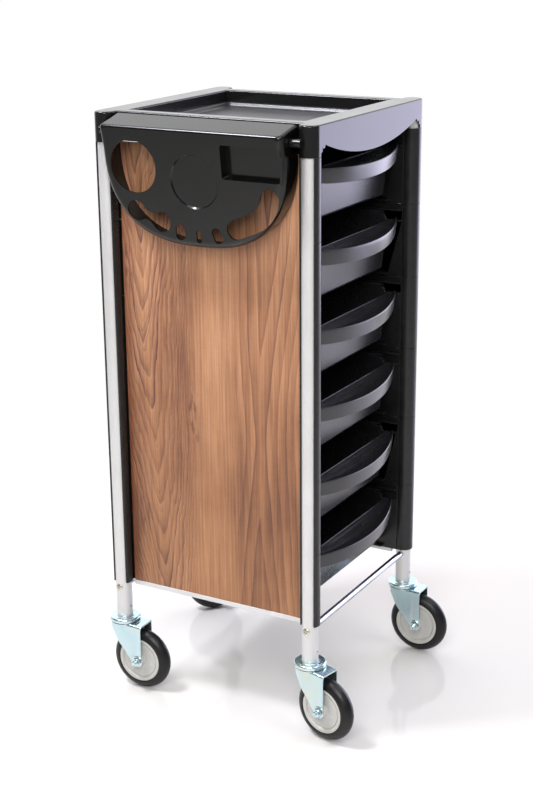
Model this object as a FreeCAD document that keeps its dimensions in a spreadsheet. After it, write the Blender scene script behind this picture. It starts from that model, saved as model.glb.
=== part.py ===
import FreeCAD, Part
import math
import os
import Sketcher
from FreeCAD import Placement, Rotation, Vector

# Rolling salon trolley.
# Row frame in millimetres: origin on the floor under the middle of the overall box, +Z up.
# Pieces are drawn about the centre between the four posts, which lies shift_x, shift_y from the origin.
# Front (drawers open) is -Y, the side with the fold-up tool tray is -X (left).

doc = FreeCAD.newDocument("SalonTrolley")

# ---------------------------------------------------------------- driving dimensions
sheet = doc.addObject("Spreadsheet::Sheet", "Dims")
VALUES = [
    # the origin sits under the middle of everything, wheels and tool tray included
    ("shift_x", 10.9388, "posts' centre line from the origin, across"),
    ("shift_y", 11.6480, "posts' centre line from the origin, front to back"),
    # frame
    ("post_x", 164.5, "half distance between posts across"),
    ("post_y", 167.0, "half distance between posts front to back"),
    ("post_rad", 12.5, "post outer radius"),
    ("post_wall", 1.2, "post wall"),
    ("post_low", 119.2, "lower end of the posts"),
    ("post_high", 904.0, "upper end of the posts, inside the corner caps"),
    ("top_high", 913.0, "top of the frame"),
    ("top_low", 869.6, "underside of the corner caps"),
    ("cap_rad", 15.0, "corner cap radius"),
    ("side_lip", 157.0, "half width at the rim lip"),
    ("side_wall", 150.6, "half width of the recessed side wall"),
    ("lip_thick", 8.0, "height of the side lip"),
    ("open_x", 136.0, "half width of the recess"),
    ("open_y", 143.0, "half depth of the recess"),
    ("skin", 3.0, "moulding wall"),
    ("ledge_high", 893.0, "top of the ledge the tray insert lies on"),
    ("ledge_wide", 8.0, "width of that ledge"),
    ("arch_low", 860.0, "lowest point of the arched fascia"),
    ("arch_rad", 455.5, "radius of the fascia arch"),
    ("arch_half", 149.0, "half chord of the fascia arch"),
    ("arch_end", 885.06, "height of the arch ends"),
    ("fascia_thick", 2.4, "fascia wall"),
    ("floor_high", 889.5, "top face of the tray insert floor"),
    ("rim_low", 889.0, "underside of the rim"),
    ("leg_in", 161.0, "inner edge of a fascia leg"),
    ("notch_out", 157.0, "outer side of the notch"),
    ("notch_spring", 884.6, "height where the notch arch starts"),
    ("boss_face", 148.0, "inner end of the hinge bosses"),
    ("boss_rad", 6.0, "hinge boss radius"),
    ("dryer_rad", 38.0, "radius of the round dryer hole"),
    # runner modules
    ("stack_low", 178.5, "base of the lowest runner"),
    ("pitch", 115.1167, "height of one drawer module"),
    ("seam", 0.3, "gap between stacked runners"),
    ("clip_rad", 15.0, "outer radius of the column clip"),
    ("clip_bore", 12.6, "inner radius of the column clip"),
    ("web_out", 151.4, "outer face of the runner web"),
    ("web_in", 149.4, "inner face of the runner web"),
    ("rib_in", 143.0, "inner edge of the guide ribs"),
    ("rib_front", 160.0, "front end of the guide ribs"),
    ("rib_low", 87.6, "underside of the lower rib"),
    ("rib_mid", 90.0, "top of the lower rib"),
    ("rib_up", 104.2, "underside of the upper rib"),
    ("rib_top", 106.6, "top of the upper rib"),
    # side panels
    ("panel_in", 151.7, "inner face of a side panel"),
    ("panel_out", 155.7, "outer face of a side panel"),
    ("panel_half", 151.3, "half width of a side panel"),
    ("panel_low", 175.0, "bottom edge of a side panel"),
    ("panel_high", 868.6, "top edge of a side panel"),
    ("trim_low", 172.4, "underside of the edge channel"),
    ("trim_high", 179.6, "upper lips of the edge channel"),
    # rails
    ("rail_rad", 5.2, "cross rail radius"),
    ("rail_high", 170.6, "cross rail height"),
    # drawers
    ("bin_half", 140.8, "half width of a drawer"),
    ("bin_low", 12.3, "drawer floor above the module base"),
    ("bin_high", 103.4, "drawer rim above the module base"),
    ("bin_front_low", 134.0, "front wall at the floor"),
    ("bin_front_high", 143.0, "front wall at its top"),
    ("bin_lip", 90.0, "height of the front wall"),
    ("bin_back", 146.0, "rear wall"),
    ("bin_wall", 2.4, "drawer wall"),
    ("flange_out", 148.9, "outer face of the sliding flange"),
    ("flange_low", 90.4, "lower edge of the sliding flange"),
    ("flange_front", 131.0, "front end of the sliding flange"),
    ("grip_tip_y", 156.0, "lip tips"),
    ("grip_mid_y", 186.0, "lip centre"),
    ("grip_rad", 346.35, "radius of the lip"),
    ("grip_low", 66.0, "underside of the lip"),
    ("travel", 230.0, "drawer travel"),
    # tool tray, in its own frame: origin on the hinge axis, face towards -X
    ("hinge_x", -182.0, "hinge axis across"),
    ("hinge_z", 889.0, "hinge axis height"),
    ("lean", 7.0, "lean of the hanging tray in degrees"),
    ("flap_face", 27.2, "face distance from the hinge axis"),
    ("flap_skin", 2.8, "tray wall"),
    ("flap_half", 147.0, "half width of the tray"),
    ("flap_top", 14.5, "upper edge of the face above the hinge"),
    ("flap_mid", -20.0, "where the curved part starts"),
    ("flap_drop", 135.0, "height of the curved part"),
    ("mouth_top", 19.6, "open side at the top"),
    ("mouth_low", 5.3, "open side at the bottom"),
    ("mouth_rise", 20.0, "top wall height at the open side"),
    ("pin_rad", 3.0, "hinge pin radius"),
    ("pin_bore", 3.05, "bore for the hinge pin"),
    # casters
    ("wheel_rad", 50.0, "tyre radius"),
    ("hub_rad", 36.0, "hub radius"),
    ("wheel_half", 12.0, "half width of the tyre"),
    ("trail", 31.0, "axle offset from the swivel axis"),
    ("axle_rad", 4.0, "axle bolt radius"),
    ("axle_bore", 4.05, "hub bore radius"),
    ("prong_in", 15.5, "inner face of a fork prong"),
    ("prong_out", 18.0, "outer face of a fork prong"),
    ("fork_top", 111.5, "upper face of the fork plate"),
    ("fork_plate", 2.5, "fork sheet thickness"),
    ("race_rad", 24.4, "upper race radius"),
    ("stem_rad", 6.0, "stem radius"),
    ("stem_high", 165.0, "top of the stem"),
    ("ball_rad", 2.0, "bearing ball radius"),
    ("ball_ring", 17.0, "radius of the ball circle"),
]
D = {}
for row, (alias, value, note) in enumerate(VALUES, start=1):
    sheet.set("A%d" % row, alias)
    sheet.set("B%d" % row, "%.4f" % value)
    sheet.set("C%d" % row, note)
    sheet.setAlias("B%d" % row, alias)
    D[alias] = value
doc.recompute()

NODES = []


# ---------------------------------------------------------------- small helpers
def num(expr):
    """Value of a dimension expression, for the first position of sketch geometry."""
    return float(work_out(str(expr)))


def work_out(text):
    # arithmetic on sheet names only: + - * / ( ), cos, sin
    tokens = []
    i = 0
    while i < len(text):
        c = text[i]
        if c.isspace():
            i += 1
        elif c.isdigit() or c == ".":
            j = i
            while j < len(text) and (text[j].isdigit() or text[j] == "."):
                j += 1
            tokens.append(float(text[i:j]))
            i = j
        elif c.isalpha() or c == "_":
            j = i
            while j < len(text) and (text[j].isalnum() or text[j] == "_"):
                j += 1
            tokens.append(D[text[i:j]])
            i = j
        else:
            tokens.append(c)
            i += 1
    pos = [0]

    def peek():
        return tokens[pos[0]] if pos[0] < len(tokens) else None

    def take():
        pos[0] += 1
        return tokens[pos[0] - 1]

    def factor():
        t = take()
        if t == "-":
            return -factor()
        if t == "+":
            return factor()
        if t == "(":
            v = total()
            take()
            return v
        return t

    def term():
        v = factor()
        while peek() in ("*", "/"):
            if take() == "*":
                v = v * factor()
            else:
                v = v / factor()
        return v

    def total():
        v = term()
        while peek() in ("+", "-"):
            if take() == "+":
                v = v + term()
            else:
                v = v - term()
        return v

    return total()


def link(expr):
    """The same expression written for setExpression, with the sheet's name in front of each alias."""
    text = str(expr)
    out = ""
    i = 0
    while i < len(text):
        c = text[i]
        if c.isalpha() or c == "_":
            j = i
            while j < len(text) and (text[j].isalnum() or text[j] == "_"):
                j += 1
            out += "Dims." + text[i:j]
            i = j
        else:
            out += c
            i += 1
    return out


def new_body(name):
    b = doc.addObject("PartDesign::Body", name)
    b.Label = name
    NODES.append(b)
    return b


def origin_plane(b, role):
    for f in b.Origin.OriginFeatures:
        if f.Role == role:
            return f
    raise RuntimeError(role)


def new_sketch(b, name, role, offset="0"):
    s = b.newObject("Sketcher::SketchObject", name)
    s.AttachmentSupport = [(origin_plane(b, role), "")]
    s.MapMode = "FlatFace"
    s.AttachmentOffset = Placement(Vector(0, 0, num(offset)), Rotation())
    if str(offset) != "0":
        s.setExpression("AttachmentOffset.Base.z", link(offset))
    return s


def pin_point(s, geo, point, ex, ey):
    for axis, expr in (("DistanceX", ex), ("DistanceY", ey)):
        value = num(expr)
        if abs(value) < 1e-9:
            s.addConstraint(
                Sketcher.Constraint("PointOnObject", geo, point, -2 if axis == "DistanceX" else -1)
            )
            continue
        k = s.addConstraint(Sketcher.Constraint(axis, -1, 1, geo, point, value))
        if any(ch.isalpha() for ch in str(expr)):
            s.setExpression("Constraints[%d]" % k, link(expr))


def circle(s, ex, ey, er):
    g = s.addGeometry(Part.Circle(Vector(num(ex), num(ey), 0), Vector(0, 0, 1), num(er)), False)
    pin_point(s, g, 3, ex, ey)
    k = s.addConstraint(Sketcher.Constraint("Radius", g, num(er)))
    if any(ch.isalpha() for ch in str(er)):
        s.setExpression("Constraints[%d]" % k, link(er))


def outline(s, points):
    """Closed outline. points: (x, y) starts a straight edge; (x, y, bulge_x, bulge_y, radius) starts an
    arc that passes near the bulge point and has that radius."""
    count = len(points)
    geos = []
    for i, p in enumerate(points):
        q = points[(i + 1) % count]
        a = Vector(num(p[0]), num(p[1]), 0)
        b = Vector(num(q[0]), num(q[1]), 0)
        if len(p) == 2:
            geos.append(s.addGeometry(Part.LineSegment(a, b), False))
        else:
            geos.append(s.addGeometry(Part.Arc(a, Vector(num(p[2]), num(p[3]), 0), b), False))
    ends = []
    for i, p in enumerate(points):
        if len(p) == 2:
            ends.append((1, 2))
        else:
            a = Vector(num(p[0]), num(p[1]), 0)
            ends.append((1, 2) if (s.Geometry[geos[i]].StartPoint - a).Length < 1e-4 else (2, 1))
    joints = []
    for i in range(count):
        j = (i + 1) % count
        joints.append(Sketcher.Constraint("Coincident", geos[i], ends[i][1], geos[j], ends[j][0]))
    s.addConstraint(joints)
    for i, p in enumerate(points):
        pin_point(s, geos[i], ends[i][0], p[0], p[1])
    for i, p in enumerate(points):
        if len(p) == 5:
            k = s.addConstraint(Sketcher.Constraint("Radius", geos[i], num(p[4])))
            if any(ch.isalpha() for ch in str(p[4])):
                s.setExpression("Constraints[%d]" % k, link(p[4]))


def box_outline(s, x0, y0, x1, y1):
    outline(s, [(x0, y0), (x1, y0), (x1, y1), (x0, y1)])


def pad(b, s, name, length, mid=False, reverse=False):
    f = b.newObject("PartDesign::Pad", name)
    f.Profile = s
    f.Length = num(length)
    f.setExpression("Length", link(length))
    if mid:
        f.Midplane = True
    if reverse:
        f.Reversed = True
    s.Visibility = False
    return f


def pocket(b, s, name, length=None, reverse=False, mid=False):
    before = b.Tip
    doc.recompute()
    if before.Shape.isNull() or not before.Shape.isValid():
        raise RuntimeError("%s has no valid shape before %s: %s" % (before.Name, name, before.State))
    f = b.newObject("PartDesign::Pocket", name)
    f.Profile = s
    if length is None:
        f.Type = 1
        f.Midplane = True
    else:
        f.Length = num(length)
        f.setExpression("Length", link(length))
        if mid:
            f.Midplane = True
    f.Reversed = reverse
    doc.recompute()
    if not f.Shape.Volume < before.Shape.Volume - 1e-3:
        raise RuntimeError("%s cuts nothing" % name)
    return f


def stand(obj):
    """Puts a grouped node, or a body drawn in place, on the row's origin."""
    place(obj, "shift_x", "shift_y", "0")


def place(obj, ex="0", ey="0", ez="0", axis=None, angle=0.0, angle_expr=None):
    obj.Placement = Placement(
        Vector(num(ex), num(ey), num(ez)), Rotation(axis or Vector(0, 0, 1), angle)
    )
    for key, expr in (("x", ex), ("y", ey), ("z", ez)):
        if any(ch.isalpha() for ch in str(expr)):
            obj.setExpression("Placement.Base." + key, link(expr))
    if angle_expr:
        obj.setExpression("Placement.Rotation.Angle", link(angle_expr))


CORNERS = [
    ("front_left", -1, -1, -11.5),
    ("rear_left", -1, 1, 1.6),
    ("front_right", 1, -1, -0.1),
    ("rear_right", 1, 1, 228.0),
]


def signed(sign, expr):
    return expr if sign > 0 else "-(%s)" % expr


# ---------------------------------------------------------------- top frame
b = new_body("top_frame")
s = new_sketch(b, "rim_plan", "XY_Plane", "rim_low")
box_outline(s, "-side_lip", "-(post_y + cap_rad)", "side_lip", "post_y + cap_rad")
pad(b, s, "rim_block", "top_high - rim_low")
s = new_sketch(b, "side_wall_plan", "XY_Plane", "top_low")
for sx in (-1, 1):
    box_outline(
        s, signed(sx, "side_wall - skin"), "-(post_y - 6)", signed(sx, "side_wall"), "post_y - 6"
    )
pad(b, s, "side_walls", "rim_low - top_low")
for tag, sx, sy, turn in CORNERS:
    s = new_sketch(b, "cap_plan_" + tag, "XY_Plane", "top_low")
    circle(s, signed(sx, "post_x"), signed(sy, "post_y"), "cap_rad")
    pad(b, s, "cap_" + tag, "top_high - top_low")
    s = new_sketch(b, "bridge_plan_" + tag, "XY_Plane", "top_low")
    box_outline(
        s,
        signed(sx, "side_wall - skin"),
        signed(sy, "post_y + cap_rad"),
        signed(sx, "post_x"),
        signed(sy, "post_y - cap_rad"),
    )
    pad(b, s, "bridge_" + tag, "top_high - top_low")
# everything between the fascia wall and the post is open up to the rim, so the tube shows in the notch
for tag, sy in (("front", -1), ("rear", 1)):
    s = new_sketch(b, "window_plan_" + tag, "XY_Plane", "top_low")
    for sx in (-1, 1):
        box_outline(
            s,
            signed(sx, "side_wall - skin - 2"),
            signed(sy, "post_y - cap_rad + 3"),
            signed(sx, "leg_in"),
            signed(sy, "post_y + cap_rad + 1"),
        )
    pocket(b, s, "window_" + tag, "rim_low - top_low", reverse=True)
# arched fascia with a leg at each post and a small arched notch beside it
for tag, sy in (("front", -1), ("rear", 1)):
    s = new_sketch(b, "fascia_plan_" + tag, "XZ_Plane", signed(-sy, "post_y + cap_rad"))
    outline(
        s,
        [
            ("post_x", "rim_low + 4"),
            ("-post_x", "rim_low + 4"),
            ("-post_x", "top_low"),
            ("-leg_in", "top_low"),
            ("-leg_in", "top_low + 5"),
            ("-notch_out", "top_low + 7"),
            ("-notch_out", "notch_spring", "-(notch_out - 4)", "notch_spring + 4", "4.05"),
            ("-arch_half", "arch_end", "0", "arch_low", "arch_rad"),
            ("arch_half", "arch_end", "notch_out - 4", "notch_spring + 4", "4.05"),
            ("notch_out", "notch_spring"),
            ("notch_out", "top_low + 7"),
            ("leg_in", "top_low + 5"),
            ("leg_in", "top_low"),
            ("post_x", "top_low"),
        ],
    )
    pad(b, s, "fascia_" + tag, "fascia_thick", reverse=(sy < 0))
# recess for the tray insert, with the ledge it lies on
s = new_sketch(b, "recess_plan", "XY_Plane", "top_high")
box_outline(s, "-open_x", "-open_y", "open_x", "open_y")
pocket(b, s, "recess", "top_high - ledge_high")
s = new_sketch(b, "opening_plan", "XY_Plane", "top_high")
box_outline(
    s, "-(open_x - ledge_wide)", "-(open_y - ledge_wide)", "open_x - ledge_wide", "open_y - ledge_wide"
)
pocket(b, s, "opening", "top_high - rim_low + 1")
# the rim is a hollow moulding, open underneath
s = new_sketch(b, "hollow_plan", "XY_Plane", "rim_low")
for sy in (-1, 1):
    box_outline(
        s,
        "-(side_wall - skin - 2)",
        signed(sy, "open_y + skin"),
        "side_wall - skin - 2",
        signed(sy, "post_y + cap_rad - fascia_thick"),
    )
for sx in (-1, 1):
    box_outline(
        s,
        signed(sx, "open_x + skin"),
        "-open_y",
        signed(sx, "side_wall - skin"),
        "open_y",
    )
pocket(b, s, "hollow", "top_high - rim_low - skin", reverse=True)
# side faces are set back below the lip so the tool tray can swing past
s = new_sketch(b, "setback_plan", "XY_Plane", "rim_low")
for sx in (-1, 1):
    box_outline(
        s,
        signed(sx, "side_wall"),
        "-(post_y - cap_rad)",
        signed(sx, "side_lip + 2"),
        "post_y - cap_rad",
    )
pocket(b, s, "setback", "top_high - rim_low - lip_thick", reverse=True)
# sockets for the posts
s = new_sketch(b, "socket_plan", "XY_Plane", "top_low")
for tag, sx, sy, turn in CORNERS:
    circle(s, signed(sx, "post_x"), signed(sy, "post_y"), "post_rad + 0.05")
pocket(b, s, "sockets", "post_high - top_low", reverse=True)
# bosses that hold the hinge pins of the tool tray
for tag, sy in (("front", -1), ("rear", 1)):
    s = new_sketch(b, "boss_plan_" + tag, "XZ_Plane", signed(-sy, "boss_face"))
    circle(s, "hinge_x", "hinge_z", "boss_rad")
    pad(b, s, "boss_" + tag, "post_y - 4 - boss_face", reverse=(sy > 0))
    s = new_sketch(b, "pin_hole_plan_" + tag, "XZ_Plane", signed(-sy, "boss_face"))
    circle(s, "hinge_x", "hinge_z", "pin_rad")
    pocket(b, s, "pin_hole_" + tag, "post_y - 5 - boss_face", reverse=(sy < 0))
    # the post passes free of the boss
    s = new_sketch(b, "post_clear_plan_" + tag, "XY_Plane", "top_low")
    circle(s, "-post_x", signed(sy, "post_y"), "post_rad + 0.05")
    f = b.newObject("PartDesign::Pocket", "post_clear_" + tag)
    f.Profile = s
    f.Length = num("post_high - top_low")
    f.setExpression("Length", link("post_high - top_low"))
    f.Reversed = True
stand(b)
doc.recompute()

# ---------------------------------------------------------------- tray insert
b = new_body("top_tray")
s = new_sketch(b, "flange_plan", "XY_Plane", "ledge_high")
box_outline(s, "-(open_x - 0.5)", "-(open_y - 0.5)", "open_x - 0.5", "open_y - 0.5")
pad(b, s, "flange", "2.5")
s = new_sketch(b, "pan_plan", "XY_Plane", "floor_high - 2.5")
box_outline(
    s,
    "-(open_x - ledge_wide - 0.5)",
    "-(open_y - ledge_wide - 0.5)",
    "open_x - ledge_wide - 0.5",
    "open_y - ledge_wide - 0.5",
)
pad(b, s, "pan", "ledge_high - floor_high + 2.5")
s = new_sketch(b, "pan_room_plan", "XY_Plane", "floor_high")
box_outline(
    s,
    "-(open_x - ledge_wide - 3)",
    "-(open_y - ledge_wide - 3)",
    "open_x - ledge_wide - 3",
    "open_y - ledge_wide - 3",
)
pocket(b, s, "pan_room", "ledge_high - floor_high + 3", reverse=True)
stand(b)

# ---------------------------------------------------------------- posts
for tag, sx, sy, turn in CORNERS:
    b = new_body("post_" + tag)
    s = new_sketch(b, "tube_plan_" + tag, "XY_Plane", "post_low")
    circle(s, "0", "0", "post_rad")
    circle(s, "0", "0", "post_rad - post_wall")
    pad(b, s, "tube_" + tag, "post_high - post_low")
    # bolt hole right through, at the rail
    s = new_sketch(b, "bolt_hole_plan_" + tag, "YZ_Plane", "-20")
    circle(s, "0", "rail_high", "2.6")
    pocket(b, s, "bolt_hole_" + tag, "40", reverse=True)
    # the rail end enters the inner side
    s = new_sketch(b, "rail_hole_plan_" + tag, "YZ_Plane", "0")
    circle(s, "0", "rail_high", "rail_rad + 0.05")
    pocket(b, s, "rail_hole_" + tag, "20", reverse=(sx < 0))
    # cross hole above the caster, front side
    s = new_sketch(b, "cross_hole_plan_" + tag, "XZ_Plane", "0")
    circle(s, "0", "136", "2")
    pocket(b, s, "cross_hole_" + tag, "20", reverse=True)
    place(b, signed(sx, "post_x") + " + shift_x", signed(sy, "post_y") + " + shift_y")

# ---------------------------------------------------------------- runner modules
for side, sx in (("left", -1), ("right", 1)):
    for level in range(6):
        tag = "%s_%d" % (side, level + 1)
        b = new_body("runner_" + tag)
        tall = "pitch - seam"
        for end, sy in (("front", -1), ("rear", 1)):
            s = new_sketch(b, "clip_plan_%s_%s" % (end, tag), "XY_Plane")
            circle(s, signed(sx, "post_x"), signed(sy, "post_y"), "clip_rad")
            pad(b, s, "clip_%s_%s" % (end, tag), tall)
        s = new_sketch(b, "web_plan_" + tag, "XY_Plane")
        box_outline(s, signed(sx, "web_in"), "-(post_y - 6)", signed(sx, "web_out"), "post_y - 6")
        pad(b, s, "web_" + tag, tall)
        s = new_sketch(b, "bore_plan_" + tag, "XY_Plane")
        for sy in (-1, 1):
            circle(s, signed(sx, "post_x"), signed(sy, "post_y"), "clip_bore")
        pocket(b, s, "bore_" + tag, tall, reverse=True)
        # the clip is open towards the outside, so the tube shows there
        s = new_sketch(b, "mouth_plan_" + tag, "XY_Plane")
        for sy in (-1, 1):
            outline(
                s,
                [
                    (signed(sx, "post_x + 1.5"), signed(sy, "post_y")),
                    (signed(sx, "post_x + 18"), signed(sy, "post_y - 23.5")),
                    (signed(sx, "post_x + 18"), signed(sy, "post_y + 23.5")),
                ],
            )
        pocket(b, s, "mouth_" + tag, tall, reverse=True)
        for rib, z0, z1, inner, front in (
            ("low", "rib_low", "rib_mid", "rib_in", "rib_front"),
            ("up", "rib_up", "rib_top", "rib_in", "rib_front"),
            ("shelf", "2.7", "5", "rib_in - 2", "post_y - 30"),
        ):
            s = new_sketch(b, "rib_%s_plan_%s" % (rib, tag), "XY_Plane", z0)
            box_outline(
                s,
                signed(sx, inner),
                "-(%s)" % front,
                signed(sx, "web_in + 0.5"),
                "post_y - 17",
            )
            pad(b, s, "rib_%s_%s" % (rib, tag), "%s - %s" % (z1, z0))
        s = new_sketch(b, "stop_plan_" + tag, "XY_Plane", "rib_mid - 0.5")
        box_outline(s, signed(sx, "rib_in"), "bin_back + 1.2", signed(sx, "web_in + 0.5"), "post_y - 17")
        pad(b, s, "stop_" + tag, "rib_up - rib_mid + 1")
        place(b, "shift_x", "shift_y", "stack_low + %d * pitch" % level)

# ---------------------------------------------------------------- side panels and their edge channels
for side, sx in (("left", -1), ("right", 1)):
    b = new_body("side_panel_" + side)
    s = new_sketch(b, "board_plan_" + side, "XY_Plane", "panel_low")
    box_outline(s, signed(sx, "panel_in"), "-panel_half", signed(sx, "panel_out"), "panel_half")
    pad(b, s, "board_" + side, "panel_high - panel_low")
    stand(b)
    b = new_body("panel_trim_" + side)
    s = new_sketch(b, "channel_plan_" + side, "XY_Plane", "trim_low")
    box_outline(
        s, signed(sx, "panel_in - 1.2"), "-panel_half", signed(sx, "panel_out + 1.2"), "panel_half"
    )
    pad(b, s, "channel_" + side, "trim_high - trim_low")
    s = new_sketch(b, "channel_room_plan_" + side, "XY_Plane", "trim_high")
    box_outline(
        s,
        signed(sx, "panel_in - 0.05"),
        "-(panel_half + 1)",
        signed(sx, "panel_out + 0.05"),
        "panel_half + 1",
    )
    pocket(b, s, "channel_room_" + side, "trim_high - panel_low")
    # the inner lip stays below the lowest runner
    s = new_sketch(b, "lip_relief_plan_" + side, "XY_Plane", "trim_high")
    box_outline(
        s,
        signed(sx, "panel_in - 2"),
        "-(panel_half + 1)",
        signed(sx, "panel_in - 0.05"),
        "panel_half + 1",
    )
    pocket(b, s, "lip_relief_" + side, "trim_high - stack_low + seam")
    stand(b)

# ---------------------------------------------------------------- cross rails
for end, sy in (("front", -1), ("rear", 1)):
    b = new_body(end + "_rail")
    s = new_sketch(b, "bar_plan_" + end, "YZ_Plane", "-(post_x - post_rad + 0.6)")
    circle(s, signed(sy, "post_y"), "rail_high", "rail_rad")
    pad(b, s, "bar_" + end, "2 * (post_x - post_rad + 0.6)")
    for side, sx in (("left", -1), ("right", 1)):
        s = new_sketch(
            b, "tapping_plan_%s_%s" % (end, side), "YZ_Plane", signed(sx, "post_x - post_rad + 0.6")
        )
        circle(s, signed(sy, "post_y"), "rail_high", "2.55")
        pocket(b, s, "tapping_%s_%s" % (end, side), "16", reverse=(sx < 0))
    stand(b)

# ---------------------------------------------------------------- rail screws: four pan heads, one node
pieces = []
for tag, sx, sy, turn in CORNERS:
    shank = doc.addObject("Part::Cylinder", "screw_shank_" + tag)
    shank.Radius = 2.5
    shank.Height = 38
    head = doc.addObject("Part::Cylinder", "screw_head_" + tag)
    head.Radius = 4.7
    head.Height = 2.6
    dome = doc.addObject("Part::Sphere", "screw_dome_" + tag)
    dome.Radius = 6.2
    for o, x in ((shank, "post_x + post_rad + 0.05"), (head, "post_x + post_rad + 2.65"), (dome, "post_x + post_rad - 3.3")):
        place(o, signed(sx, x), signed(sy, "post_y"), "rail_high", Vector(0, 1, 0), -90.0 * sx)
    capped = doc.addObject("Part::MultiCommon", "screw_pan_" + tag)
    capped.Shapes = [head, dome]
    slot_a = doc.addObject("Part::Box", "screw_slot_a_" + tag)
    slot_b = doc.addObject("Part::Box", "screw_slot_b_" + tag)
    for o, wy, wz in ((slot_a, 5.0, 1.1), (slot_b, 1.1, 5.0)):
        o.Length = 3.0
        o.Width = wy
        o.Height = wz
        base = "post_x + post_rad + 1.3" if sx > 0 else "post_x + post_rad + 4.3"
        place(
            o,
            signed(sx, base),
            "%s - %.2f" % (signed(sy, "post_y"), wy / 2),
            "rail_high - %.2f" % (wz / 2),
        )
    whole = doc.addObject("Part::MultiFuse", "screw_whole_" + tag)
    whole.Shapes = [capped, shank]
    cross = doc.addObject("Part::MultiFuse", "screw_cross_" + tag)
    cross.Shapes = [slot_a, slot_b]
    one = doc.addObject("Part::Cut", "screw_" + tag)
    one.Base = whole
    one.Tool = cross
    pieces.append(one)
g = doc.addObject("Part::Compound", "rail_screws")
g.Links = pieces
g.Label = "rail_screws"
stand(g)
NODES.append(g)

# ---------------------------------------------------------------- drawers
for level in range(6):
    tag = str(level + 1)
    b = new_body("drawer_" + tag)
    # side profile: the front wall leans out towards its lip
    s = new_sketch(b, "bin_side_" + tag, "YZ_Plane")
    outline(
        s,
        [
            ("-bin_front_low", "bin_low"),
            ("bin_back", "bin_low"),
            ("bin_back", "bin_high"),
            ("-flange_front", "bin_high"),
            ("-bin_front_high", "bin_lip"),
        ],
    )
    pad(b, s, "bin_block_" + tag, "2 * bin_half", mid=True)
    # grip lip
    s = new_sketch(b, "grip_plan_" + tag, "XY_Plane", "grip_low")
    outline(
        s,
        [
            ("-bin_half", "-(bin_front_high - 3)"),
            ("-bin_half", "-grip_tip_y", "0", "-grip_mid_y", "grip_rad"),
            ("bin_half", "-grip_tip_y"),
            ("bin_half", "-(bin_front_high - 3)"),
        ],
    )
    pad(b, s, "grip_" + tag, "bin_lip - grip_low")
    s = new_sketch(b, "grip_room_plan_" + tag, "XY_Plane", "grip_low")
    outline(
        s,
        [
            ("-(bin_half - 2.5)", "-(bin_front_high + 2)"),
            ("-(bin_half - 2.5)", "-(grip_tip_y - 2.3)", "0", "-(grip_mid_y - 2.5)", "grip_rad"),
            ("bin_half - 2.5", "-(grip_tip_y - 2.3)"),
            ("bin_half - 2.5", "-(bin_front_high + 2)"),
        ],
    )
    pocket(b, s, "grip_room_" + tag, "bin_lip - grip_low - 2.5", reverse=True)
    # room inside
    s = new_sketch(b, "bin_room_side_" + tag, "YZ_Plane")
    outline(
        s,
        [
            ("-(bin_front_low - bin_wall)", "bin_low + bin_wall"),
            ("bin_back - bin_wall", "bin_low + bin_wall"),
            ("bin_back - bin_wall", "bin_high + 3"),
            ("-(bin_front_high - bin_wall + 0.35)", "bin_high + 3"),
            ("-(bin_front_high - bin_wall + 0.35)", "bin_lip"),
        ],
    )
    pocket(b, s, "bin_room_" + tag, "2 * (bin_half - bin_wall)", mid=True)
    # sliding flanges along both sides
    s = new_sketch(b, "flange_plan_" + tag, "XY_Plane", "flange_low")
    for sx in (-1, 1):
        box_outline(s, signed(sx, "bin_half - 0.5"), "-flange_front", signed(sx, "flange_out"), "bin_back")
    pad(b, s, "flange_" + tag, "bin_high - flange_low")
    s = new_sketch(b, "flange_room_plan_" + tag, "XY_Plane", "flange_low")
    for sx in (-1, 1):
        box_outline(
            s, signed(sx, "bin_half"), "-(flange_front - 2)", signed(sx, "flange_out - 2.2"), "bin_back - 2"
        )
    pocket(b, s, "flange_room_" + tag, "bin_high - flange_low - 2.4", reverse=True)
    place(b, "shift_x", "shift_y", "stack_low + %d * pitch" % level)

# ---------------------------------------------------------------- tool tray
def dee(half, top, drop, steps=14, power=2.5):
    """D outline: straight top, sides and bottom on a superellipse."""
    pts = []
    for i in range(steps * 2 + 1):
        a = math.pi * i / (2 * steps)
        cy = math.copysign(abs(math.cos(a)) ** (2 / power), math.cos(a))
        cz = abs(math.sin(a)) ** (2 / power)
        ey = "%.6f * (%s)" % (abs(cy), half)
        if cy < 0:
            ey = "-(%s)" % ey
        if abs(cy) < 1e-9:
            ey = "0"
        pts.append((ey, "flap_mid - %.6f * (%s)" % (cz, drop)))
    pts.append(("-(%s)" % half, top))
    pts.append((half, top))
    return pts


b = new_body("tool_tray")
s = new_sketch(b, "dee_plan", "YZ_Plane", "-flap_face")
outline(s, dee("flap_half", "mouth_rise", "flap_drop"))
pad(b, s, "dee_block", "flap_face + mouth_top")
s = new_sketch(b, "dee_room_plan", "YZ_Plane", "-(flap_face - flap_skin)")
outline(s, dee("flap_half - flap_skin", "mouth_rise - flap_skin", "flap_drop - flap_skin"))
pocket(b, s, "dee_room", "flap_face + mouth_top", reverse=True)
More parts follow.
